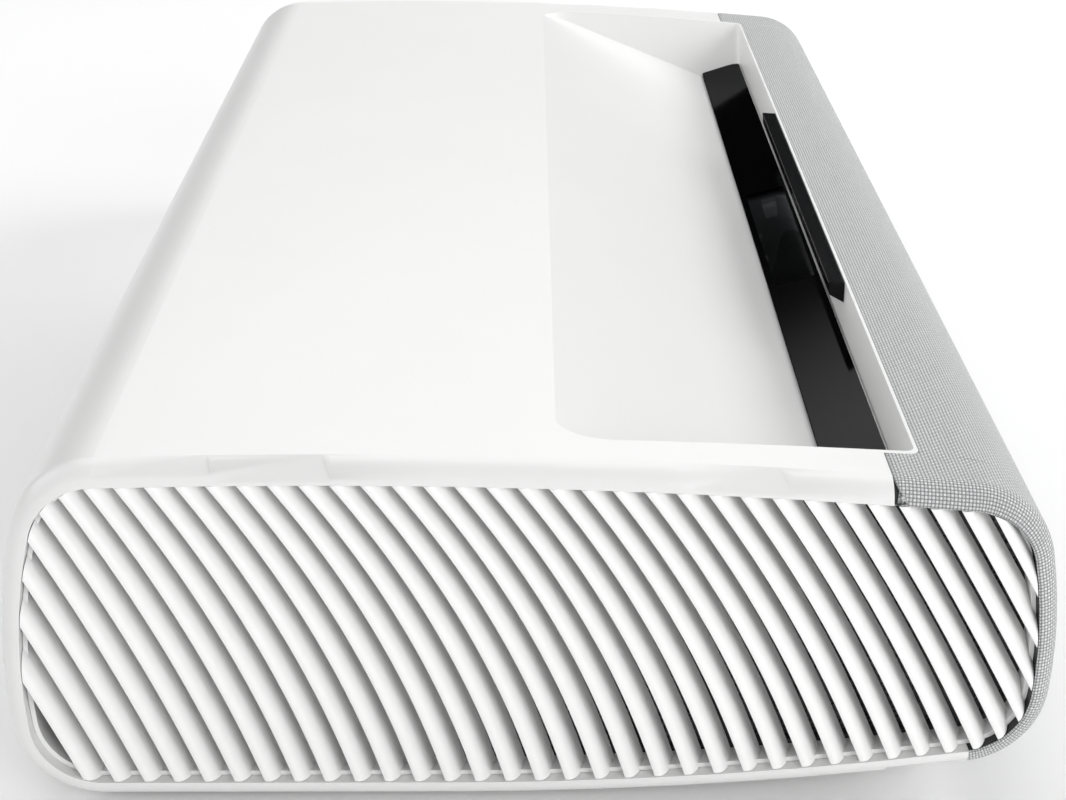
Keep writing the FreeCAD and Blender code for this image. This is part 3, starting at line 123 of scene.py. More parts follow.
def make_edge_catch():
    """Thin line along convex edges, for rubbed wear and a painted highlight, and a mask of the hollows for
    painted shade.
    """
    group, t, given, out = node_group(
        "edge catch",
        [("Width", FLOAT, 0.5), ("Breakup", FLOAT, 0.4)],
        [("Edge", FLOAT), ("Painted Hollow Shade", FLOAT)],
    )
    bend = t.add("ShaderNodeNewGeometry").outputs["Pointiness"]
    place = t.add("ShaderNodeTexCoord").outputs["Object"]
    broken = t.ramp(t.noise(place, 260.0, 3.0, 0.6), 0.35, 0.65, 1.0, 0.0)
    keep = t.math("SUBTRACT", 1.0, t.math("MULTIPLY", broken, given["Breakup"]))
    start = t.math("SUBTRACT", 0.60, t.math("MULTIPLY", given["Width"], 0.08))
    t.feed(out["Edge"], t.math("MULTIPLY", t.ramp(bend, start, 0.66), keep))
    t.feed(out["Painted Hollow Shade"], t.ramp(bend, 0.47, 0.40))
    return group


def make_settled_dust():
    """Faint dust that lies on what faces up."""
    group, t, given, out = node_group(
        "settled dust", [("Amount", FLOAT, 0.2), ("Patch Size", FLOAT, 0.01)], [("Mask", FLOAT)]
    )
    up = t.add("ShaderNodeSeparateXYZ", Vector=t.add("ShaderNodeNewGeometry").outputs["Normal"])
    place = t.add("ShaderNodeTexCoord").outputs["Object"]
    patches = t.noise(place, t.math("DIVIDE", 1.0, given["Patch Size"]), 5.0, 0.65)
    specks = t.noise(place, 2600.0, 1.0, 0.5)
    lying = t.ramp(up.outputs["Z"], 0.3, 0.95)
    scattered = t.math("MULTIPLY", t.ramp(patches, 0.40, 0.75), t.ramp(specks, 0.45, 0.62))
    t.feed(out["Mask"], t.math("MULTIPLY", t.math("MULTIPLY", lying, scattered), given["Amount"]))
    return group


def make_brushed_streaks():
    """Fine parallel scratches of drawn or brushed metal."""
    group, t, given, out = node_group(
        "brushed streaks",
        [("Streaks Along X", FLOAT, 20.0), ("Streaks Along Y", FLOAT, 2200.0),
         ("Streaks Along Z", FLOAT, 2200.0)],
        [("Height", FLOAT), ("Shade", FLOAT), ("Roughness Change", FLOAT)],
    )
    place = t.add("ShaderNodeTexCoord").outputs["Object"]
    scale = t.add("ShaderNodeCombineXYZ")
    for axis in "XYZ":
        t.feed(scale.inputs[axis], given["Streaks Along " + axis])
    stretched = t.add("ShaderNodeVectorMath", {"operation": "MULTIPLY"})
    t.feed(stretched.inputs[0], place)
    t.feed(stretched.inputs[1], scale.outputs[0])
    streak = t.noise(stretched.outputs[0], 1.0, 3.0, 0.6)
    t.feed(out["Height"], streak)
    t.feed(out["Shade"], t.ramp(streak, 0.3, 0.7))
    t.feed(out["Roughness Change"], t.ramp(streak, 0.3, 0.7, -0.06, 0.08))
    return group


def make_woven_melange():
    """Plain weave: light warp and darker weft that pass over each other, with dark gaps between."""
    group, t, given, out = node_group(
        "woven melange",
        [("Yarn Pitch", FLOAT, 0.0012), ("Warp", COLOUR, (0.8, 0.8, 0.8, 1)),
         ("Weft", COLOUR, (0.6, 0.6, 0.6, 1)), ("Gap", COLOUR, (0.12, 0.12, 0.12, 1)),
         ("Fleck", FLOAT, 0.15)],
        [("Color", COLOUR), ("Height", FLOAT), ("Gap Mask", FLOAT)],
    )
    cut = t.add("ShaderNodeUVMap", {"uv_map": "cloth_cut"}).outputs[0]
    along = t.add("ShaderNodeSeparateXYZ", Vector=cut)
    wander = t.math("MULTIPLY", t.math("SUBTRACT", t.noise(cut, 90.0, 2.0, 0.5), 0.5), 0.3)
    u = t.math("ADD", t.math("DIVIDE", along.outputs["X"], given["Yarn Pitch"]), wander)
    v = t.math("ADD", t.math("DIVIDE", along.outputs["Y"], given["Yarn Pitch"]), wander)
    cell_u, cell_v = t.math("FLOOR", u), t.math("FLOOR", v)
    hump_u = t.math("SINE", t.math("MULTIPLY", t.math("FRACT", u), math.pi))
    hump_v = t.math("SINE", t.math("MULTIPLY", t.math("FRACT", v), math.pi))
    keep_positive = 20000.0
    warp_over = t.math("MODULO", t.math("ADD", t.math("ADD", cell_u, cell_v), keep_positive), 2.0)
    dome = t.math("MULTIPLY", hump_u, hump_v)
    height = t.math("MULTIPLY", dome, t.math("ADD", 0.55, t.math("MULTIPLY", warp_over, 0.45)))
    cell = t.add("ShaderNodeCombineXYZ", X=cell_u, Y=cell_v)
    pick = t.add("ShaderNodeTexWhiteNoise", {"noise_dimensions": "2D"}, Vector=cell.outputs[0])
    drift = t.noise(cut, 160.0, 2.0, 0.6)
    fibre = t.noise(cut, 6000.0, 2.0, 0.6)
    yarn = t.blend(warp_over, given["Weft"], given["Warp"])
    uneven = t.math("ADD", pick.outputs["Value"], t.ramp(drift, 0.35, 0.65))
    uneven = t.math("MULTIPLY", uneven, given["Fleck"])
    yarn = t.blend(uneven, yarn, given["Gap"])
    yarn = t.blend(t.ramp(fibre, 0.3, 0.7, 0.0, 0.2), yarn, given["Weft"])
    gap = t.ramp(dome, 0.62, 0.12)
    t.feed(out["Color"], t.blend(gap, yarn, given["Gap"]))
    t.feed(out["Height"], t.math("ADD", height, t.math("MULTIPLY", fibre, 0.08)))
    t.feed(out["Gap Mask"], gap)
    return group


def make_open_cells():
    """Cell walls and pores of filter foam or pressed pulp."""
    group, t, given, out = node_group(
        "open cells", [("Cell Size", FLOAT, 0.0012)], [("Height", FLOAT), ("Pore", FLOAT)]
    )
    place = t.add("ShaderNodeTexCoord").outputs["Object"]
    cells = t.add("ShaderNodeTexVoronoi", {"feature": "DISTANCE_TO_EDGE"}, Vector=place)
    t.feed(cells.inputs["Scale"], t.math("DIVIDE", 1.0, given["Cell Size"]))
    wall = cells.outputs["Distance"]
    t.feed(out["Height"], t.ramp(wall, 0.0, 0.25, 1.0, 0.0))
    t.feed(out["Pore"], t.ramp(wall, 0.08, 0.3))
    return group


def make_board_tracks():
    """Copper tracks under solder mask, and rows of solder points."""
    group, t, given, out = node_group(
        "board tracks", [("Track Pitch", FLOAT, 0.0022)],
        [("Track", FLOAT), ("Solder", FLOAT), ("Height", FLOAT)],
    )
    place = t.add("ShaderNodeTexCoord").outputs["Object"]
    blocks = t.add("ShaderNodeTexVoronoi", {"distance": "CHEBYCHEV"}, Vector=place, Scale=70.0)
    axis = t.add("ShaderNodeSeparateXYZ", Vector=place)
    turned = t.ramp(t.add("ShaderNodeSeparateColor", Color=blocks.outputs["Color"]).outputs[0], 0.49, 0.51)
    across = t.math("ADD", axis.outputs["X"], t.math("MULTIPLY", turned, axis.outputs["Z"]))
    across = t.math("ADD", across, t.math("MULTIPLY", t.math("SUBTRACT", 1.0, turned), axis.outputs["Y"]))
    wave = t.math("FRACT", t.math("DIVIDE", across, given["Track Pitch"]))
    track = t.ramp(t.math("ABSOLUTE", t.math("SUBTRACT", wave, 0.5)), 0.14, 0.18, 1.0, 0.0)
    dots = t.add("ShaderNodeTexVoronoi", Vector=place, Scale=330.0)
    solder = t.ramp(dots.outputs["Distance"], 0.17, 0.13)
    picked = t.ramp(t.add("ShaderNodeSeparateColor", Color=dots.outputs["Color"]).outputs[1], 0.62, 0.66)
    solder = t.math("MULTIPLY", solder, picked)
    t.feed(out["Track"], track)
    t.feed(out["Solder"], solder)
    t.feed(out["Height"], t.math("ADD", t.math("MULTIPLY", track, 0.4), solder))
    return group


GRAIN = make_moulded_grain()
EDGE = make_edge_catch()
DUST = make_settled_dust()
STREAKS = make_brushed_streaks()
WEAVE = make_woven_melange()
CELLS = make_open_cells()
TRACKS = make_board_tracks()


# ---- materials -----------------------------------------------------------------------------------
DUST_COLOUR = (0.55, 0.54, 0.52, 1)
FLUFF_COLOUR = (0.5, 0.49, 0.47, 1)
SOLDER_COLOUR = (0.72, 0.72, 0.70, 1)
# the hollows' darker tone is painted shade
HOLLOW_PAINTED_SHADE = 0.25         # how far the hollows of a moulding take their darker tone
DUST_DULLS = 0.4            # roughness that dust adds
FILM_DULLS = 0.015          # roughness that a smear adds to glass
YARN_PITCH = 0.0012
YARN_RELIEF = 0.0005


def start(name, **fixed):
    """A material with its Principled BSDF, its Tree and a helper that places a group in it."""
    material = bpy.data.materials.new(name)
    material.use_nodes = True
    tree = Tree(material.node_tree)
    shader = material.node_tree.nodes["Principled BSDF"]
    for socket, value in fixed.items():
        shader.inputs[socket.replace("_", " ")].default_value = value

    def place(group, **values):
        made = tree.add("ShaderNodeGroup", {"node_tree": group})
        for socket, value in values.items():
            tree.feed(made.inputs[socket.replace("_", " ")], value)
        return made.outputs

    return material, tree, shader, place


def emboss(tree, shader, height, distance, strength=1.0):
    """Bends the shader's normal by a height that goes up to a distance in metres."""
    bump = tree.add("ShaderNodeBump", Strength=strength, Distance=distance)
    tree.feed(bump.inputs["Height"], height)
    tree.feed(shader.inputs["Normal"], bump.outputs[0])


def shade(colour, factor):
    """The colour made lighter or darker by a factor."""
    return tuple(min(1.0, c * factor) for c in colour[:3]) + (1.0,)


def moulded(name, colour, roughness, grain=0.0006, depth=0.00002, dust=0.0, edge=0.25,
            edge_gain=1.25, flow=0.985, coat=0.0, specular=0.5):
    """Moulded plastic or painted metal: fine grain, slow tone, a little dust, edges lightened for rubbed wear
    and a painted highlight, and painted shade in the hollows.
    """
    colour = tuple(colour) + (1.0,)
    material, t, shader, place = start(
        name, Coat_Weight=coat, Coat_Roughness=0.08, Specular_IOR_Level=specular)
    skin = place(GRAIN, Grain_Size=grain)
    wear_highlight_and_shade = place(EDGE)
    tone = t.blend(skin["Shade"], shade(colour, flow), colour)
    # convex edges lightened: rubbed wear and a painted highlight; hollows darkened: painted shade
    tone = t.blend(t.math("MULTIPLY", wear_highlight_and_shade["Edge"], edge), tone, shade(colour, edge_gain))
    tone = t.blend(t.math("MULTIPLY", wear_highlight_and_shade["Painted Hollow Shade"], HOLLOW_PAINTED_SHADE), tone, shade(colour, 0.8))
    rough = t.math("ADD", roughness, skin["Sheen Change"])
    if dust:
        lying = place(DUST, Amount=dust)
        tone = t.blend(lying["Mask"], tone, DUST_COLOUR)
        rough = t.math("ADD", rough, t.math("MULTIPLY", lying["Mask"], DUST_DULLS))
    t.feed(shader.inputs["Base Color"], tone)
    t.feed(shader.inputs["Roughness"], rough)
    emboss(t, shader, skin["Height"], depth)
    return material


def metal(name, colour, roughness, streaks=(20.0, 2200.0, 2200.0), depth=0.00001, edge=0.3):
    """Drawn, rolled or plated metal; streaks are the scratches' scales along X, Y and Z."""
    colour = tuple(colour) + (1.0,)
    material, t, shader, place = start(name, Metallic=1.0)
    drawn = place(STREAKS, Streaks_Along_X=streaks[0], Streaks_Along_Y=streaks[1],
                  Streaks_Along_Z=streaks[2])
    wear_highlight_and_shade = place(EDGE, Breakup=0.6)
    tone = t.blend(drawn["Shade"], shade(colour, 0.86), colour)
    # convex edges lightened: wear and a painted highlight; hollows darkened: painted shade
    tone = t.blend(t.math("MULTIPLY", wear_highlight_and_shade["Edge"], edge), tone, shade(colour, 1.2))
    tone = t.blend(t.math("MULTIPLY", wear_highlight_and_shade["Painted Hollow Shade"], 0.5), tone, shade(colour, 0.55))
    t.feed(shader.inputs["Base Color"], tone)
    t.feed(shader.inputs["Roughness"], t.math("ADD", roughness, drawn["Roughness Change"]))
    emboss(t, shader, drawn["Height"], depth)
    return material


def clear_glass(name, tint, roughness=0.02, bend=1.5, body=1.0):
    """Glass. With body under 1, that much less of it shows, as on a coated cover pane."""
    material, t, shader, place = start(name, Transmission_Weight=1.0, IOR=bend, Alpha=body)
    film = place(GRAIN, Grain_Size=0.004, Flow_Size=0.05)
    colour = tuple(tint) + (1.0,)
    t.feed(shader.inputs["Base Color"], t.blend(film["Shade"], shade(colour, 0.96), colour))
    dulled = roughness + FILM_DULLS
    t.feed(shader.inputs["Roughness"], t.ramp(film["Shade"], 0.0, 1.0, roughness, dulled))
    return material


def front_cloth():
    """The speaker cloth's weave, with a soft sheen."""
    material, t, shader, place = start("grey woven cloth", Sheen_Weight=0.35, Sheen_Roughness=0.45)
    weave = place(WEAVE, Yarn_Pitch=YARN_PITCH, Warp=(0.88, 0.885, 0.885, 1), Weft=(0.66, 0.665, 0.67, 1),
                  Gap=(0.24, 0.245, 0.25, 1), Fleck=0.09)
    t.feed(shader.inputs["Base Color"], weave["Color"])
    t.feed(shader.inputs["Roughness"], t.ramp(weave["Gap Mask"], 0.0, 1.0, 0.78, 0.95))
    emboss(t, shader, weave["Height"], YARN_RELIEF, 0.8)
    return material


def circuit_board(name, colour):
    """Solder mask over copper tracks, with bright solder points."""
    colour = tuple(colour) + (1.0,)
    material, t, shader, place = start(name, Coat_Weight=0.4, Coat_Roughness=0.15)
    board = place(TRACKS)
    tone = t.blend(board["Track"], colour, shade(colour, 1.7))
    tone = t.blend(board["Solder"], tone, SOLDER_COLOUR)
    t.feed(shader.inputs["Base Color"], tone)
    t.feed(shader.inputs["Metallic"], t.math("MULTIPLY", board["Solder"], 0.9))
    t.feed(shader.inputs["Roughness"], t.ramp(board["Solder"], 0.0, 1.0, 0.45, 0.28))
    emboss(t, shader, board["Height"], 0.00006)
    return material


def cellular(name, colour, cell, depth, roughness=0.9):
    """Foam, pulp or ferrite, with dark pores and a little fluff."""
    colour = tuple(colour) + (1.0,)
    material, t, shader, place = start(name)
    foam = place(CELLS, Cell_Size=cell)
    lying = place(DUST, Amount=0.3)
    tone = t.blend(foam["Pore"], shade(colour, 1.5), shade(colour, 0.35))
    t.feed(shader.inputs["Base Color"], t.blend(lying["Mask"], tone, FLUFF_COLOUR))
    t.feed(shader.inputs["Roughness"], t.ramp(foam["Pore"], 0.0, 1.0, roughness - 0.1, roughness))
    emboss(t, shader, foam["Height"], depth)
    return material


WHITE = (0.86, 0.86, 0.855)
FINISHES = {material.name: material for material in (
    moulded("white sleeve", WHITE, 0.34, grain=0.0005, depth=0.000006, edge=0.1, edge_gain=1.06),
    # the louvres get a lighter white than the sleeve: painted light that lifts the shade in their flanks
    moulded("white louvres painted lighter", (0.94, 0.94, 0.935), 0.42, grain=0.0005, depth=0.000008, edge=0.1,
            edge_gain=1.08),
    moulded("white base", (0.78, 0.78, 0.775), 0.5, grain=0.0009, depth=0.00004, edge=0.1),
    moulded("black moulding", (0.022, 0.022, 0.024), 0.55, depth=0.00003, edge_gain=2.0),
    moulded("dark guard", (0.035, 0.035, 0.037), 0.6, depth=0.00003, dust=0.15, edge_gain=2.0),
    clear_glass("dark pane", (0.52, 0.54, 0.56), 0.015, bend=1.08, body=0.5),
    moulded("black print", (0.0012, 0.0012, 0.0013), 0.08, depth=0.0000005, edge=0.0, specular=0.006),
    moulded("chamber trim", (0.42, 0.43, 0.44), 0.45, depth=0.00002, edge_gain=1.5),
    # the bar's edges are made twenty times lighter: a painted reflection of the bright surroundings
    moulded("sensor gloss with painted edge reflection", (0.003, 0.0031, 0.0033), 0.10, grain=0.002, depth=0.000001, edge=0.12,
            edge_gain=20.0, coat=0.0, specular=0.12),
    moulded("chamber grey", (0.15, 0.155, 0.16), 0.5, depth=0.00003, dust=0.1, edge_gain=1.8),
    moulded("black enamel", (0.02, 0.02, 0.022), 0.36, depth=0.00001, edge=0.5, edge_gain=5.0),
    clear_glass("lens glass", (0.86, 0.93, 0.97), 0.0),
    moulded("natural nylon", (0.62, 0.60, 0.53), 0.45, depth=0.00001, edge=0.3, edge_gain=1.15),
    metal("bright steel", (0.62, 0.62, 0.63), 0.3),
    metal("first-surface mirror", (0.93, 0.94, 0.95), 0.07, (40.0, 60.0, 60.0), 0.000001, 0.0),
    moulded("cast aluminium", (0.56, 0.57, 0.58), 0.55, grain=0.0012, depth=0.00008, edge=0.5,
            edge_gain=1.4, dust=0.1),
    metal("sheet aluminium", (0.78, 0.79, 0.80), 0.28, (2200.0, 30.0, 2200.0)),
    metal("phosphor ring", (0.83, 0.78, 0.36), 0.4, (300.0, 300.0, 300.0)),
    metal("bare copper", (0.86, 0.48, 0.33), 0.26, (30.0, 1500.0, 1500.0)),
    circuit_board("green board", (0.02, 0.15, 0.07)),
    circuit_board("black board", (0.012, 0.014, 0.02)),
    moulded("chip resin", (0.02, 0.02, 0.021), 0.5, depth=0.00002, edge_gain=2.5, dust=0.1),
    moulded("capacitor sleeve", (0.02, 0.022, 0.05), 0.25, depth=0.000004, coat=0.5),
    cellular("dark ferrite", (0.07, 0.07, 0.075), 0.0008, 0.00004, 0.6),
    moulded("fan plastic", (0.022, 0.022, 0.024), 0.42, depth=0.00001, dust=0.12, edge_gain=2.5),
    moulded("speaker case", (0.03, 0.03, 0.032), 0.62, grain=0.0012, depth=0.00006, edge_gain=1.8),
    cellular("pressed pulp", (0.06, 0.06, 0.062), 0.0015, 0.00006, 0.85),
    cellular("filter foam", (0.07, 0.07, 0.075), 0.0016, 0.0005, 0.95),
    moulded("silk dome", (0.05, 0.05, 0.055), 0.6, grain=0.0004, depth=0.00004),
    moulded("grey tray", (0.12, 0.12, 0.125), 0.55, grain=0.0008, depth=0.00004, edge_gain=1.5),
    metal("plated socket", (0.78, 0.78, 0.79), 0.16, (900.0, 60.0, 900.0)),
    moulded("socket resin", (0.012, 0.012, 0.013), 0.35, depth=0.00001, edge_gain=3.0),
    metal("plated contact", (0.92, 0.74, 0.38), 0.2, (900.0, 60.0, 900.0)),
    moulded("button gloss", (0.8, 0.8, 0.8), 0.22, depth=0.000003, coat=0.6),
    moulded("foot rubber", (0.03, 0.03, 0.031), 0.8, grain=0.0007, depth=0.00008, edge_gain=1.5),
)}
NODE_FINISH = {
    "housing_shell": "white sleeve", "base_plate": "white base", "front_baffle": "black moulding",
    "intake_grille": "white louvres painted lighter", "exhaust_grille": "white louvres painted lighter", "intake_guard": "dark guard",
    "exhaust_guard": "dark guard", "intake_filter": "filter foam", "pane_glass": "dark pane",
    "pane_mask": "black print", "sensor_bar": "sensor gloss with painted edge reflection", "lens_barrel": "black enamel",
    "lens_elements": "lens glass", "focus_ring": "natural nylon", "focus_pinion": "natural nylon",
    "focus_motor": "bright steel", "focus_bracket": "black enamel", "ring_clip": "bright steel",
    "concave_mirror": "first-surface mirror", "mirror_chamber": "chamber grey",
    "engine_housing": "cast aluminium", "engine_lid": "sheet aluminium", "laser_modules": "bright steel",
    "phosphor_wheel": "phosphor ring", "wheel_motor": "bright steel", "imager_board": "green board",
    "heat_pipes": "bare copper", "cold_plate": "bare copper", "cooling_fins": "sheet aluminium",
    "fan_frames": "fan plastic", "fan_rotor_front": "fan plastic", "fan_rotor_middle": "fan plastic",
    "fan_rotor_rear": "fan plastic", "speaker_boxes": "speaker case", "woofer_baskets": "black enamel",
    "woofer_cones": "pressed pulp", "woofer_magnets": "dark ferrite", "tweeters": "silk dome",
    "power_board": "green board", "power_capacitors": "capacitor sleeve", "power_transformer": "dark ferrite",
    "heat_sinks": "sheet aluminium", "main_board": "black board", "board_chips": "chip resin",
    "io_tray": "grey tray", "socket_shells": "plated socket", "socket_tongues": "socket resin",
    "socket_contacts": "plated contact", "lan_socket": "socket resin", "optical_socket": "socket resin",
    "optical_flap": "socket resin", "power_inlet": "socket resin", "power_button": "button gloss",
    "left_foot_stem": "bright steel", "left_foot_knob": "foot rubber", "right_foot_stem": "bright steel",
    "right_foot_knob": "foot rubber", "rear_feet": "foot rubber", "screws": "bright steel",
}


def dress(piece, finish):
    """Gives every material slot of a piece the same finish."""
    slots = piece.data.materials
    if len(slots) == 0:
        slots.append(FINISHES[finish])
    for number in range(len(slots)):
        slots[number] = FINISHES[finish]


for node_name, finish in NODE_FINISH.items():
    dress(NODES[node_name], finish)


# ---- speaker cloth -------------------------------------------------------------------------------
CLOTH_CENTRE = (-0.118, 0.062)
CLOTH_STRAIGHT = 0.332      # the housing is one straight section up to this far from the middle
END_ROUND = 0.008           # radius by which the cloth rolls in at each end
END_ROLL = math.radians(83.0)
END_ROLL_STEPS = 9
CLOTH_THICK = 0.0007
CLOTH_ROWS = 84
TUCK = ((0.0, 0.0), (0.00022, -0.00012), (0.00028, -0.0004), (0.00028, -0.0007))    # (run, sink)
EDGE_INSET = 0.0005
SIGHT_START, SIGHT_LENGTH = 0.2, 0.19
FRONT_ANGLE, SHOULDER_ANGLE = math.radians(80), math.radians(60)
PAST_TOP_ANGLE, PAST_LOW_ANGLE = math.radians(-40), math.radians(185)
HALVINGS = 14
PATH_STEPS = 480
PATH_INSET = 0.004          # the section is taken this far inside the straight part's end


def surface_of(node):
    """A CAD node's surface, to be met by rays."""
    mesh = NODES[node].data
    corners = [v.co.copy() for v in mesh.vertices]
    return BVHTree.FromPolygons(corners, [tuple(p.vertices) for p in mesh.polygons])


def cloth_hit(tree, x, angle):
    """Outer face of the cloth at a place along the length, seen from the middle of the front."""
    out = Vector((0.0, -math.sin(angle), math.cos(angle)))
    middle = Vector((x, *CLOTH_CENTRE))
    return tree.ray_cast(middle + out * SIGHT_START, -out, SIGHT_LENGTH)[0]


def cloth_limit(tree, x, inside, outside):
    """Angle at which the cloth ends, between one that meets it and one that doesn't."""
    for _ in range(HALVINGS):
        half = (inside + outside) / 2
        if cloth_hit(tree, x, half) is None:
            outside = half
        else:
            inside = half
    return inside


def lengths_along(points):
    """Length from the first point to each point."""
    total, found = 0.0, [0.0]
    for before, after in zip(points, points[1:]):
        total += (after - before).length
        found.append(total)
    return found


class ClothPath:
    """The cloth's section from its lower edge, round the front, to its edge on the top."""

    def __init__(self, tree):
        x = -CLOTH_STRAIGHT + PATH_INSET
        top = cloth_limit(tree, x, FRONT_ANGLE, PAST_TOP_ANGLE)
        low = cloth_limit(tree, x, FRONT_ANGLE, PAST_LOW_ANGLE)
        self.angles = [low + (top - low) * k / PATH_STEPS for k in range(PATH_STEPS + 1)]
        hits = [cloth_hit(tree, x, a) for a in self.angles]
        self.points = [Vector((p.y, p.z)) for p in hits]
        self.reach = lengths_along(self.points)

    def at(self, length):
        """Place and outward normal in the (y, z) plane at a length from the lower edge."""
        last = len(self.reach) - 1
        k = min(max(sum(1 for r in self.reach if r <= length) - 1, 0), last - 1)
        share = (length - self.reach[k]) / (self.reach[k + 1] - self.reach[k])
        before, after = self.points[max(k - 3, 0)], self.points[min(k + 4, last)]
        run = (after - before).normalized()
        return self.points[k].lerp(self.points[k + 1], share), Vector((-run.y, run.x))

    def length_at_angle(self, angle):
        """Length from the lower edge to where the path is seen at an angle."""
        for k, a in enumerate(self.angles):
            if a <= angle:
                return self.reach[k]
        return self.reach[-1]


def cloth_columns(tree, path):
    """Every column of the sheet as (x, roll, upper edge's length along the path)."""
    full = path.reach[-1]
    stations = [-CLOTH_STRAIGHT + 0.001 * k for k in range(0, 36)]
    stations += [-0.296 + 0.008 * k for k in range(0, 73)]
    stations += [CLOTH_STRAIGHT - 0.001 * k for k in range(50, -1, -1)]
    stations = sorted(set(round(x, 5) for x in stations))
    columns = []
    for x in stations:
        top = cloth_limit(tree, x, SHOULDER_ANGLE, PAST_TOP_ANGLE)
        columns.append((x, 0.0, min(full, path.length_at_angle(top))))
    rolls = [END_ROLL * k / END_ROLL_STEPS for k in range(1, END_ROLL_STEPS + 1)]
    left = [(-CLOTH_STRAIGHT, -roll, full) for roll in reversed(rolls)]
    right = [(CLOTH_STRAIGHT, roll, full) for roll in rolls]
    return left + columns + right


def make_speaker_cloth():
    """The cloth as one sheet, tucked in at its edges."""
    tree = surface_of("speaker_cloth")
    path = ClothPath(tree)
    columns = cloth_columns(tree, path)
    vertices, cut = [], []
    for x, roll, top in columns:
        low, high = EDGE_INSET, top - EDGE_INSET
        rows = [(low, -run, sink) for run, sink in reversed(TUCK[1:])]
        rows += [(low + (high - low) * k / CLOTH_ROWS, 0.0, 0.0) for k in range(CLOTH_ROWS + 1)]
        rows += [(high, run, sink) for run, sink in TUCK[1:]]
        across = x + math.copysign(END_ROUND * abs(roll), roll)
        for length, run, sink in rows:
            place, normal = path.at(length)
            tangent = Vector((normal.y, -normal.x))
            place = place + tangent * run + normal * sink
            drawn_in = END_ROUND * (1 - math.cos(roll))
            place = place - normal * drawn_in
            out = math.copysign(END_ROUND * math.sin(abs(roll)), roll)
            vertices.append((x + out, place.x, place.y))
            cut.append((across, length + run))
    count = len(vertices) // len(columns)
    faces = []
    for c in range(len(columns) - 1):
        for r in range(count - 1):
            a = c * count + r
            faces.append((a, a + 1, a + count + 1, a + count))
    mesh = bpy.data.meshes.new("front_cloth")
    mesh.from_pydata(vertices, [], faces)
    uv = mesh.uv_layers.new(name="cloth_cut")
    for loop in mesh.loops:
        uv.data[loop.index].uv = cut[loop.vertex_index]
    for polygon in mesh.polygons:
        polygon.use_smooth = True
    cloth = bpy.data.objects.new("front_cloth", mesh)
    bpy.context.scene.collection.objects.link(cloth)
    thick = cloth.modifiers.new("thickness", "SOLIDIFY")
    thick.thickness = CLOTH_THICK
    thick.offset = -1.0 if faces_out(mesh) else 1.0
    dress(cloth, "grey cloth")
    width = max(c[0] for c in cut) - min(c[0] for c in cut)
    length = path.reach[-1]
    area = sum(p.area for p in mesh.polygons)
    return cloth, width, length, area


def faces_out(mesh):
    """True if the face in the middle of the front looks forward."""
    front = min(mesh.polygons, key=lambda p: p.center.y + abs(p.center.x))
    return front.normal.y < 0


FINISHES["grey cloth"] = front_cloth()
cloth, cloth_width, cloth_length, cloth_area = make_speaker_cloth()
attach(cloth, "housing")
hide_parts("speaker_cloth")


# ---- relief on the end wall of the light channel ---------------------------------------------------
CHAMBER_WALL_X = 0.0456
RELIEF = 0.0013
RIB_HALF_WIDTH = 0.0011
RIB_SIDES = 8
PIN_SIDES = 24
PATH_PIECES = 8
CREASE = math.radians(35.0)


def bridge(bm, one, two, closed):
    """Joins two rings of corners with faces."""
    count = len(one)
    for k in range(count if closed else count - 1):
        j = (k + 1) % count
        bm.faces.new((one[k], one[j], two[j], two[k]))


def finish_piece(name, bm, finish):
    """Turns the mesh into a smooth-shaded piece of the housing."""
    bmesh.ops.recalc_face_normals(bm, faces=bm.faces)
    mesh = bpy.data.meshes.new(name)
    bm.to_mesh(mesh)
    bm.free()
    for face in mesh.polygons:
        face.use_smooth = True
    mesh.set_sharp_from_angle(angle=CREASE)
    mesh.materials.append(FINISHES[finish])
    piece = bpy.data.objects.new(name, mesh)
    bpy.context.scene.collection.objects.link(piece)
    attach(piece, "housing")
    return piece


def raised_plate(name, corners, finish, depth=RELIEF, round_edge=0.0005):
    """A plate standing off the wall, with its outer edges rounded; corners are (y, z)."""
    bm = bmesh.new()
    back = [bm.verts.new((CHAMBER_WALL_X, y, z)) for y, z in corners]
    front = [bm.verts.new((CHAMBER_WALL_X - depth, y, z)) for y, z in corners]
    bm.faces.new(back)
    face = bm.faces.new(front[::-1])
    bridge(bm, back, front, closed=True)
    bmesh.ops.bevel(
        bm, geom=list(face.edges), offset=round_edge, segments=3, affect="EDGES", profile=0.5)
    return finish_piece(name, bm, finish)


def smooth_between(before, start_at, end_at, after, share):
    """A place on the smooth curve between two values, led in and out by their neighbours."""
    slope = end_at - before
    bow = 2 * before - 5 * start_at + 4 * end_at - after
    twist = 3 * start_at - before - 3 * end_at + after
    return 0.5 * (2 * start_at + slope * share + bow * share ** 2 + twist * share ** 3)


def smooth_path(corners):
    """A smooth line of (y, z) points through the corners."""
    points = []
    padded = [corners[0]] + corners + [corners[-1]]
    for four in zip(padded, padded[1:], padded[2:], padded[3:]):
        for k in range(PATH_PIECES):
            points.append([smooth_between(*values, k / PATH_PIECES) for values in zip(*four)])
    return points + [list(corners[-1])]


def moulded_rib(name, path, half_width, finish):
    """A half-round rib swept along a smooth path of (y, z) points on the wall."""
    points = smooth_path(path)
    bm = bmesh.new()
    rings = []
    for i, (y, z) in enumerate(points):
        before, after = points[max(i - 1, 0)], points[min(i + 1, len(points) - 1)]
        dy, dz = after[0] - before[0], after[1] - before[1]
        length = math.hypot(dy, dz)
        ring = []
        for k in range(RIB_SIDES + 1):
            turn = math.pi * k / RIB_SIDES
            side, rise = half_width * math.cos(turn), half_width * math.sin(turn)
            place = (CHAMBER_WALL_X - rise, y - dz / length * side, z + dy / length * side)
            ring.append(bm.verts.new(place))
        rings.append(ring)
    for one, two in zip(rings, rings[1:]):
        bridge(bm, one, two, closed=True)
    bm.faces.new(rings[0])
    bm.faces.new(rings[-1][::-1])
    return finish_piece(name, bm, finish)


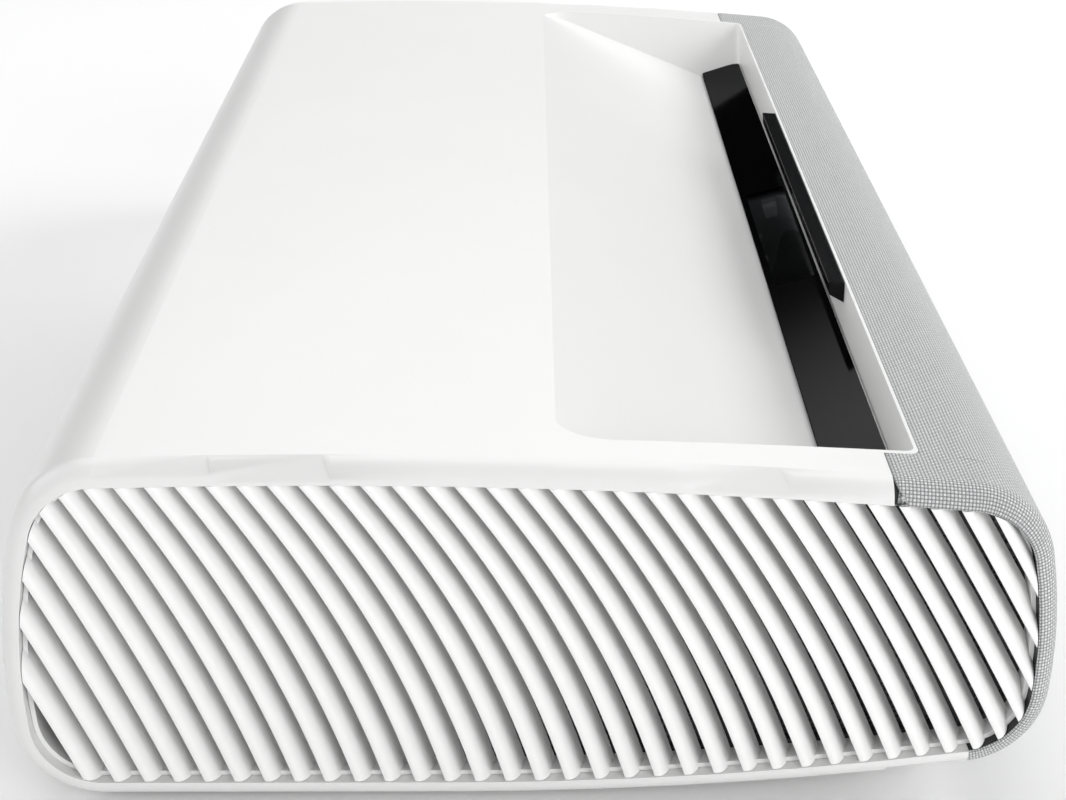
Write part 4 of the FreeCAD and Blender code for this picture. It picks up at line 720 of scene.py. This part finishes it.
def round_pin(name, centre, radius, reach, finish):
    """A moulded locating pin with a rounded tip."""
    profile = [(radius, 0.0), (radius, reach - radius * 0.5), (radius * 0.87, reach - radius * 0.2),
               (radius * 0.5, reach - radius * 0.04), (radius * 0.15, reach)]
    bm = bmesh.new()
    rings = []
    for ring_radius, out in profile:
        ring = []
        for k in range(PIN_SIDES):
            turn = 2 * math.pi * k / PIN_SIDES
            place = (CHAMBER_WALL_X - out, centre[0] + ring_radius * math.cos(turn),
                     centre[1] + ring_radius * math.sin(turn))
            ring.append(bm.verts.new(place))
        rings.append(ring)
    for one, two in zip(rings, rings[1:]):
        bridge(bm, one, two, closed=True)
    bm.faces.new(rings[0])
    bm.faces.new(rings[-1][::-1])
    return finish_piece(name, bm, finish)


PLATE_CORNERS = [(-0.1146, 0.0893), (-0.1243, 0.0924), (-0.1269, 0.0857), (-0.1169, 0.0826)]
BRACKET_CORNERS = [(-0.1281, 0.0440), (-0.1400, 0.0470), (-0.1393, 0.0572), (-0.1281, 0.0507)]
STRAIGHT_RIB = [(-0.1177, 0.0600), (-0.1188, 0.0539), (-0.1203, 0.0458)]
BENT_RIB = [(-0.1233, 0.0466), (-0.1225, 0.0523), (-0.1237, 0.0563), (-0.1287, 0.0619),
            (-0.1314, 0.0683), (-0.1319, 0.0755)]
PIN_CENTRE = (-0.1177, 0.0619)

raised_plate("chamber_plate", PLATE_CORNERS, "chamber trim")
raised_plate("chamber_bracket", BRACKET_CORNERS, "chamber trim", depth=0.002)
moulded_rib("straight_rib", STRAIGHT_RIB, RIB_HALF_WIDTH, "chamber trim")
moulded_rib("bent_rib", BENT_RIB, RIB_HALF_WIDTH, "chamber trim")
round_pin("locating_pin", PIN_CENTRE, radius=0.0013, reach=0.003, finish="natural nylon")


# ---- floor, light and camera -----------------------------------------------------------------------
FLOOR_REACH = 30.0
FLOOR_DARK, FLOOR_LIGHT = (0.93, 0.93, 0.93, 1), (0.95, 0.95, 0.95, 1)
WORLD_STRENGTH = 0.35
WORLD_WHITE, CARD_BLACK = (1, 1, 1, 1), (0.03, 0.03, 0.03, 1)
STRIP_WHITE = (22, 22, 22, 1)
# name, place, aim, size, power in watts
LIGHTS = (
    ("overhead", (1.0, 0.1, 1.9), (0.2, 0.0, 0.1), (2.2, 2.2), 21.0),
    ("end_front", (-2.0, -1.4, 0.8), (-0.34, 0.0, 0.06), (1.6, 1.4), 26.0),
    ("end_back", (-2.2, 0.9, 0.9), (-0.34, 0.0, 0.06), (1.6, 1.4), 6.0),
    ("front", (0.6, -1.9, 1.1), (0.0, -0.2, 0.08), (1.8, 1.0), 24.0),
    ("behind", (0.4, 2.2, 1.3), (0.0, 0.0, 0.1), (2.0, 1.2), 16.0),
)


def make_floor():
    """A pale floor that runs out of sight."""
    mesh = bpy.data.meshes.new("studio_floor")
    reach = FLOOR_REACH
    corners = [(-reach, -reach, 0), (reach, -reach, 0), (reach, reach, 0), (-reach, reach, 0)]
    mesh.from_pydata(corners, [], [(0, 1, 2, 3)])
    floor = bpy.data.objects.new("studio_floor", mesh)
    bpy.context.scene.collection.objects.link(floor)
    material, t, shader, place = start("pale floor", Specular_IOR_Level=0.1)
    skin = place(GRAIN, Grain_Size=0.002, Flow_Size=1.5)
    t.feed(shader.inputs["Base Color"], t.blend(skin["Shade"], FLOOR_DARK, FLOOR_LIGHT))
    t.feed(shader.inputs["Roughness"], t.ramp(skin["Shade"], 0.0, 1.0, 0.9, 0.95))
    mesh.materials.append(material)


def soft_light(name, place, aim, size, power):
    """A rectangular lamp at a place, turned towards its aim."""
    data = bpy.data.lights.new(name, "AREA")
    data.shape = "RECTANGLE"
    data.size, data.size_y = size
    data.energy = power
    lamp = bpy.data.objects.new(name, data)
    lamp.location = place
    lamp.rotation_euler = (Vector(aim) - Vector(place)).to_track_quat("-Z", "Y").to_euler()
    bpy.context.scene.collection.objects.link(lamp)


def make_studio():
    """Floor, surroundings and lamps."""
    make_floor()
    world = bpy.data.worlds.new("studio")
    world.use_nodes = True
    t = Tree(world.node_tree)
    sky = world.node_tree.nodes["Background"]
    aim = t.add("ShaderNodeSeparateXYZ", Vector=t.add("ShaderNodeTexCoord").outputs["Generated"])
    # dark cards stand low behind the far end, with a strip light above them, for the gloss of the pane
    far_side = t.ramp(aim.outputs["X"], 0.1, 0.55)
    low = t.ramp(aim.outputs["Z"], 0.75, 0.6)
    narrow = t.ramp(t.math("ABSOLUTE", aim.outputs["Y"]), 0.30, 0.22)
    strip_foot = t.ramp(aim.outputs["Z"], 0.366, 0.43)
    strip_head = t.ramp(aim.outputs["Z"], 0.47, 0.44)
    strip = t.math("MULTIPLY", strip_foot, strip_head)
    strip = t.math("MULTIPLY", t.math("MULTIPLY", strip, narrow), far_side)
    cards = t.blend(t.math("MULTIPLY", far_side, low), WORLD_WHITE, CARD_BLACK)
    t.feed(sky.inputs["Color"], t.blend(strip, cards, STRIP_WHITE))
    sky.inputs["Strength"].default_value = WORLD_STRENGTH
    bpy.context.scene.world = world
    for lamp in LIGHTS:
        soft_light(*lamp)
    bpy.context.scene.view_settings.view_transform = "Standard"


CAMERA_PLACE = (-0.934, 0.0, 0.403)
CAMERA_PITCH = math.radians(23.07)
CAMERA_YAW = math.radians(0.14)
SENSOR_WIDTH_MM, FOCAL_LENGTH_MM = 36.0, 70.51407
NEAR_CLIP = 0.01


def make_camera():
    """The camera at the near end, looking down along the length."""
    data = bpy.data.cameras.new("view")
    data.sensor_width = SENSOR_WIDTH_MM
    data.lens = FOCAL_LENGTH_MM
    data.clip_start = NEAR_CLIP
    camera = bpy.data.objects.new("view", data)
    ahead = Vector((
        math.cos(CAMERA_PITCH) * math.cos(CAMERA_YAW),
        -math.cos(CAMERA_PITCH) * math.sin(CAMERA_YAW),
        -math.sin(CAMERA_PITCH),
    ))
    camera.location = CAMERA_PLACE
    camera.rotation_euler = ahead.to_track_quat("-Z", "Y").to_euler()
    bpy.context.scene.collection.objects.link(camera)
    bpy.context.scene.camera = camera


make_studio()
make_camera()
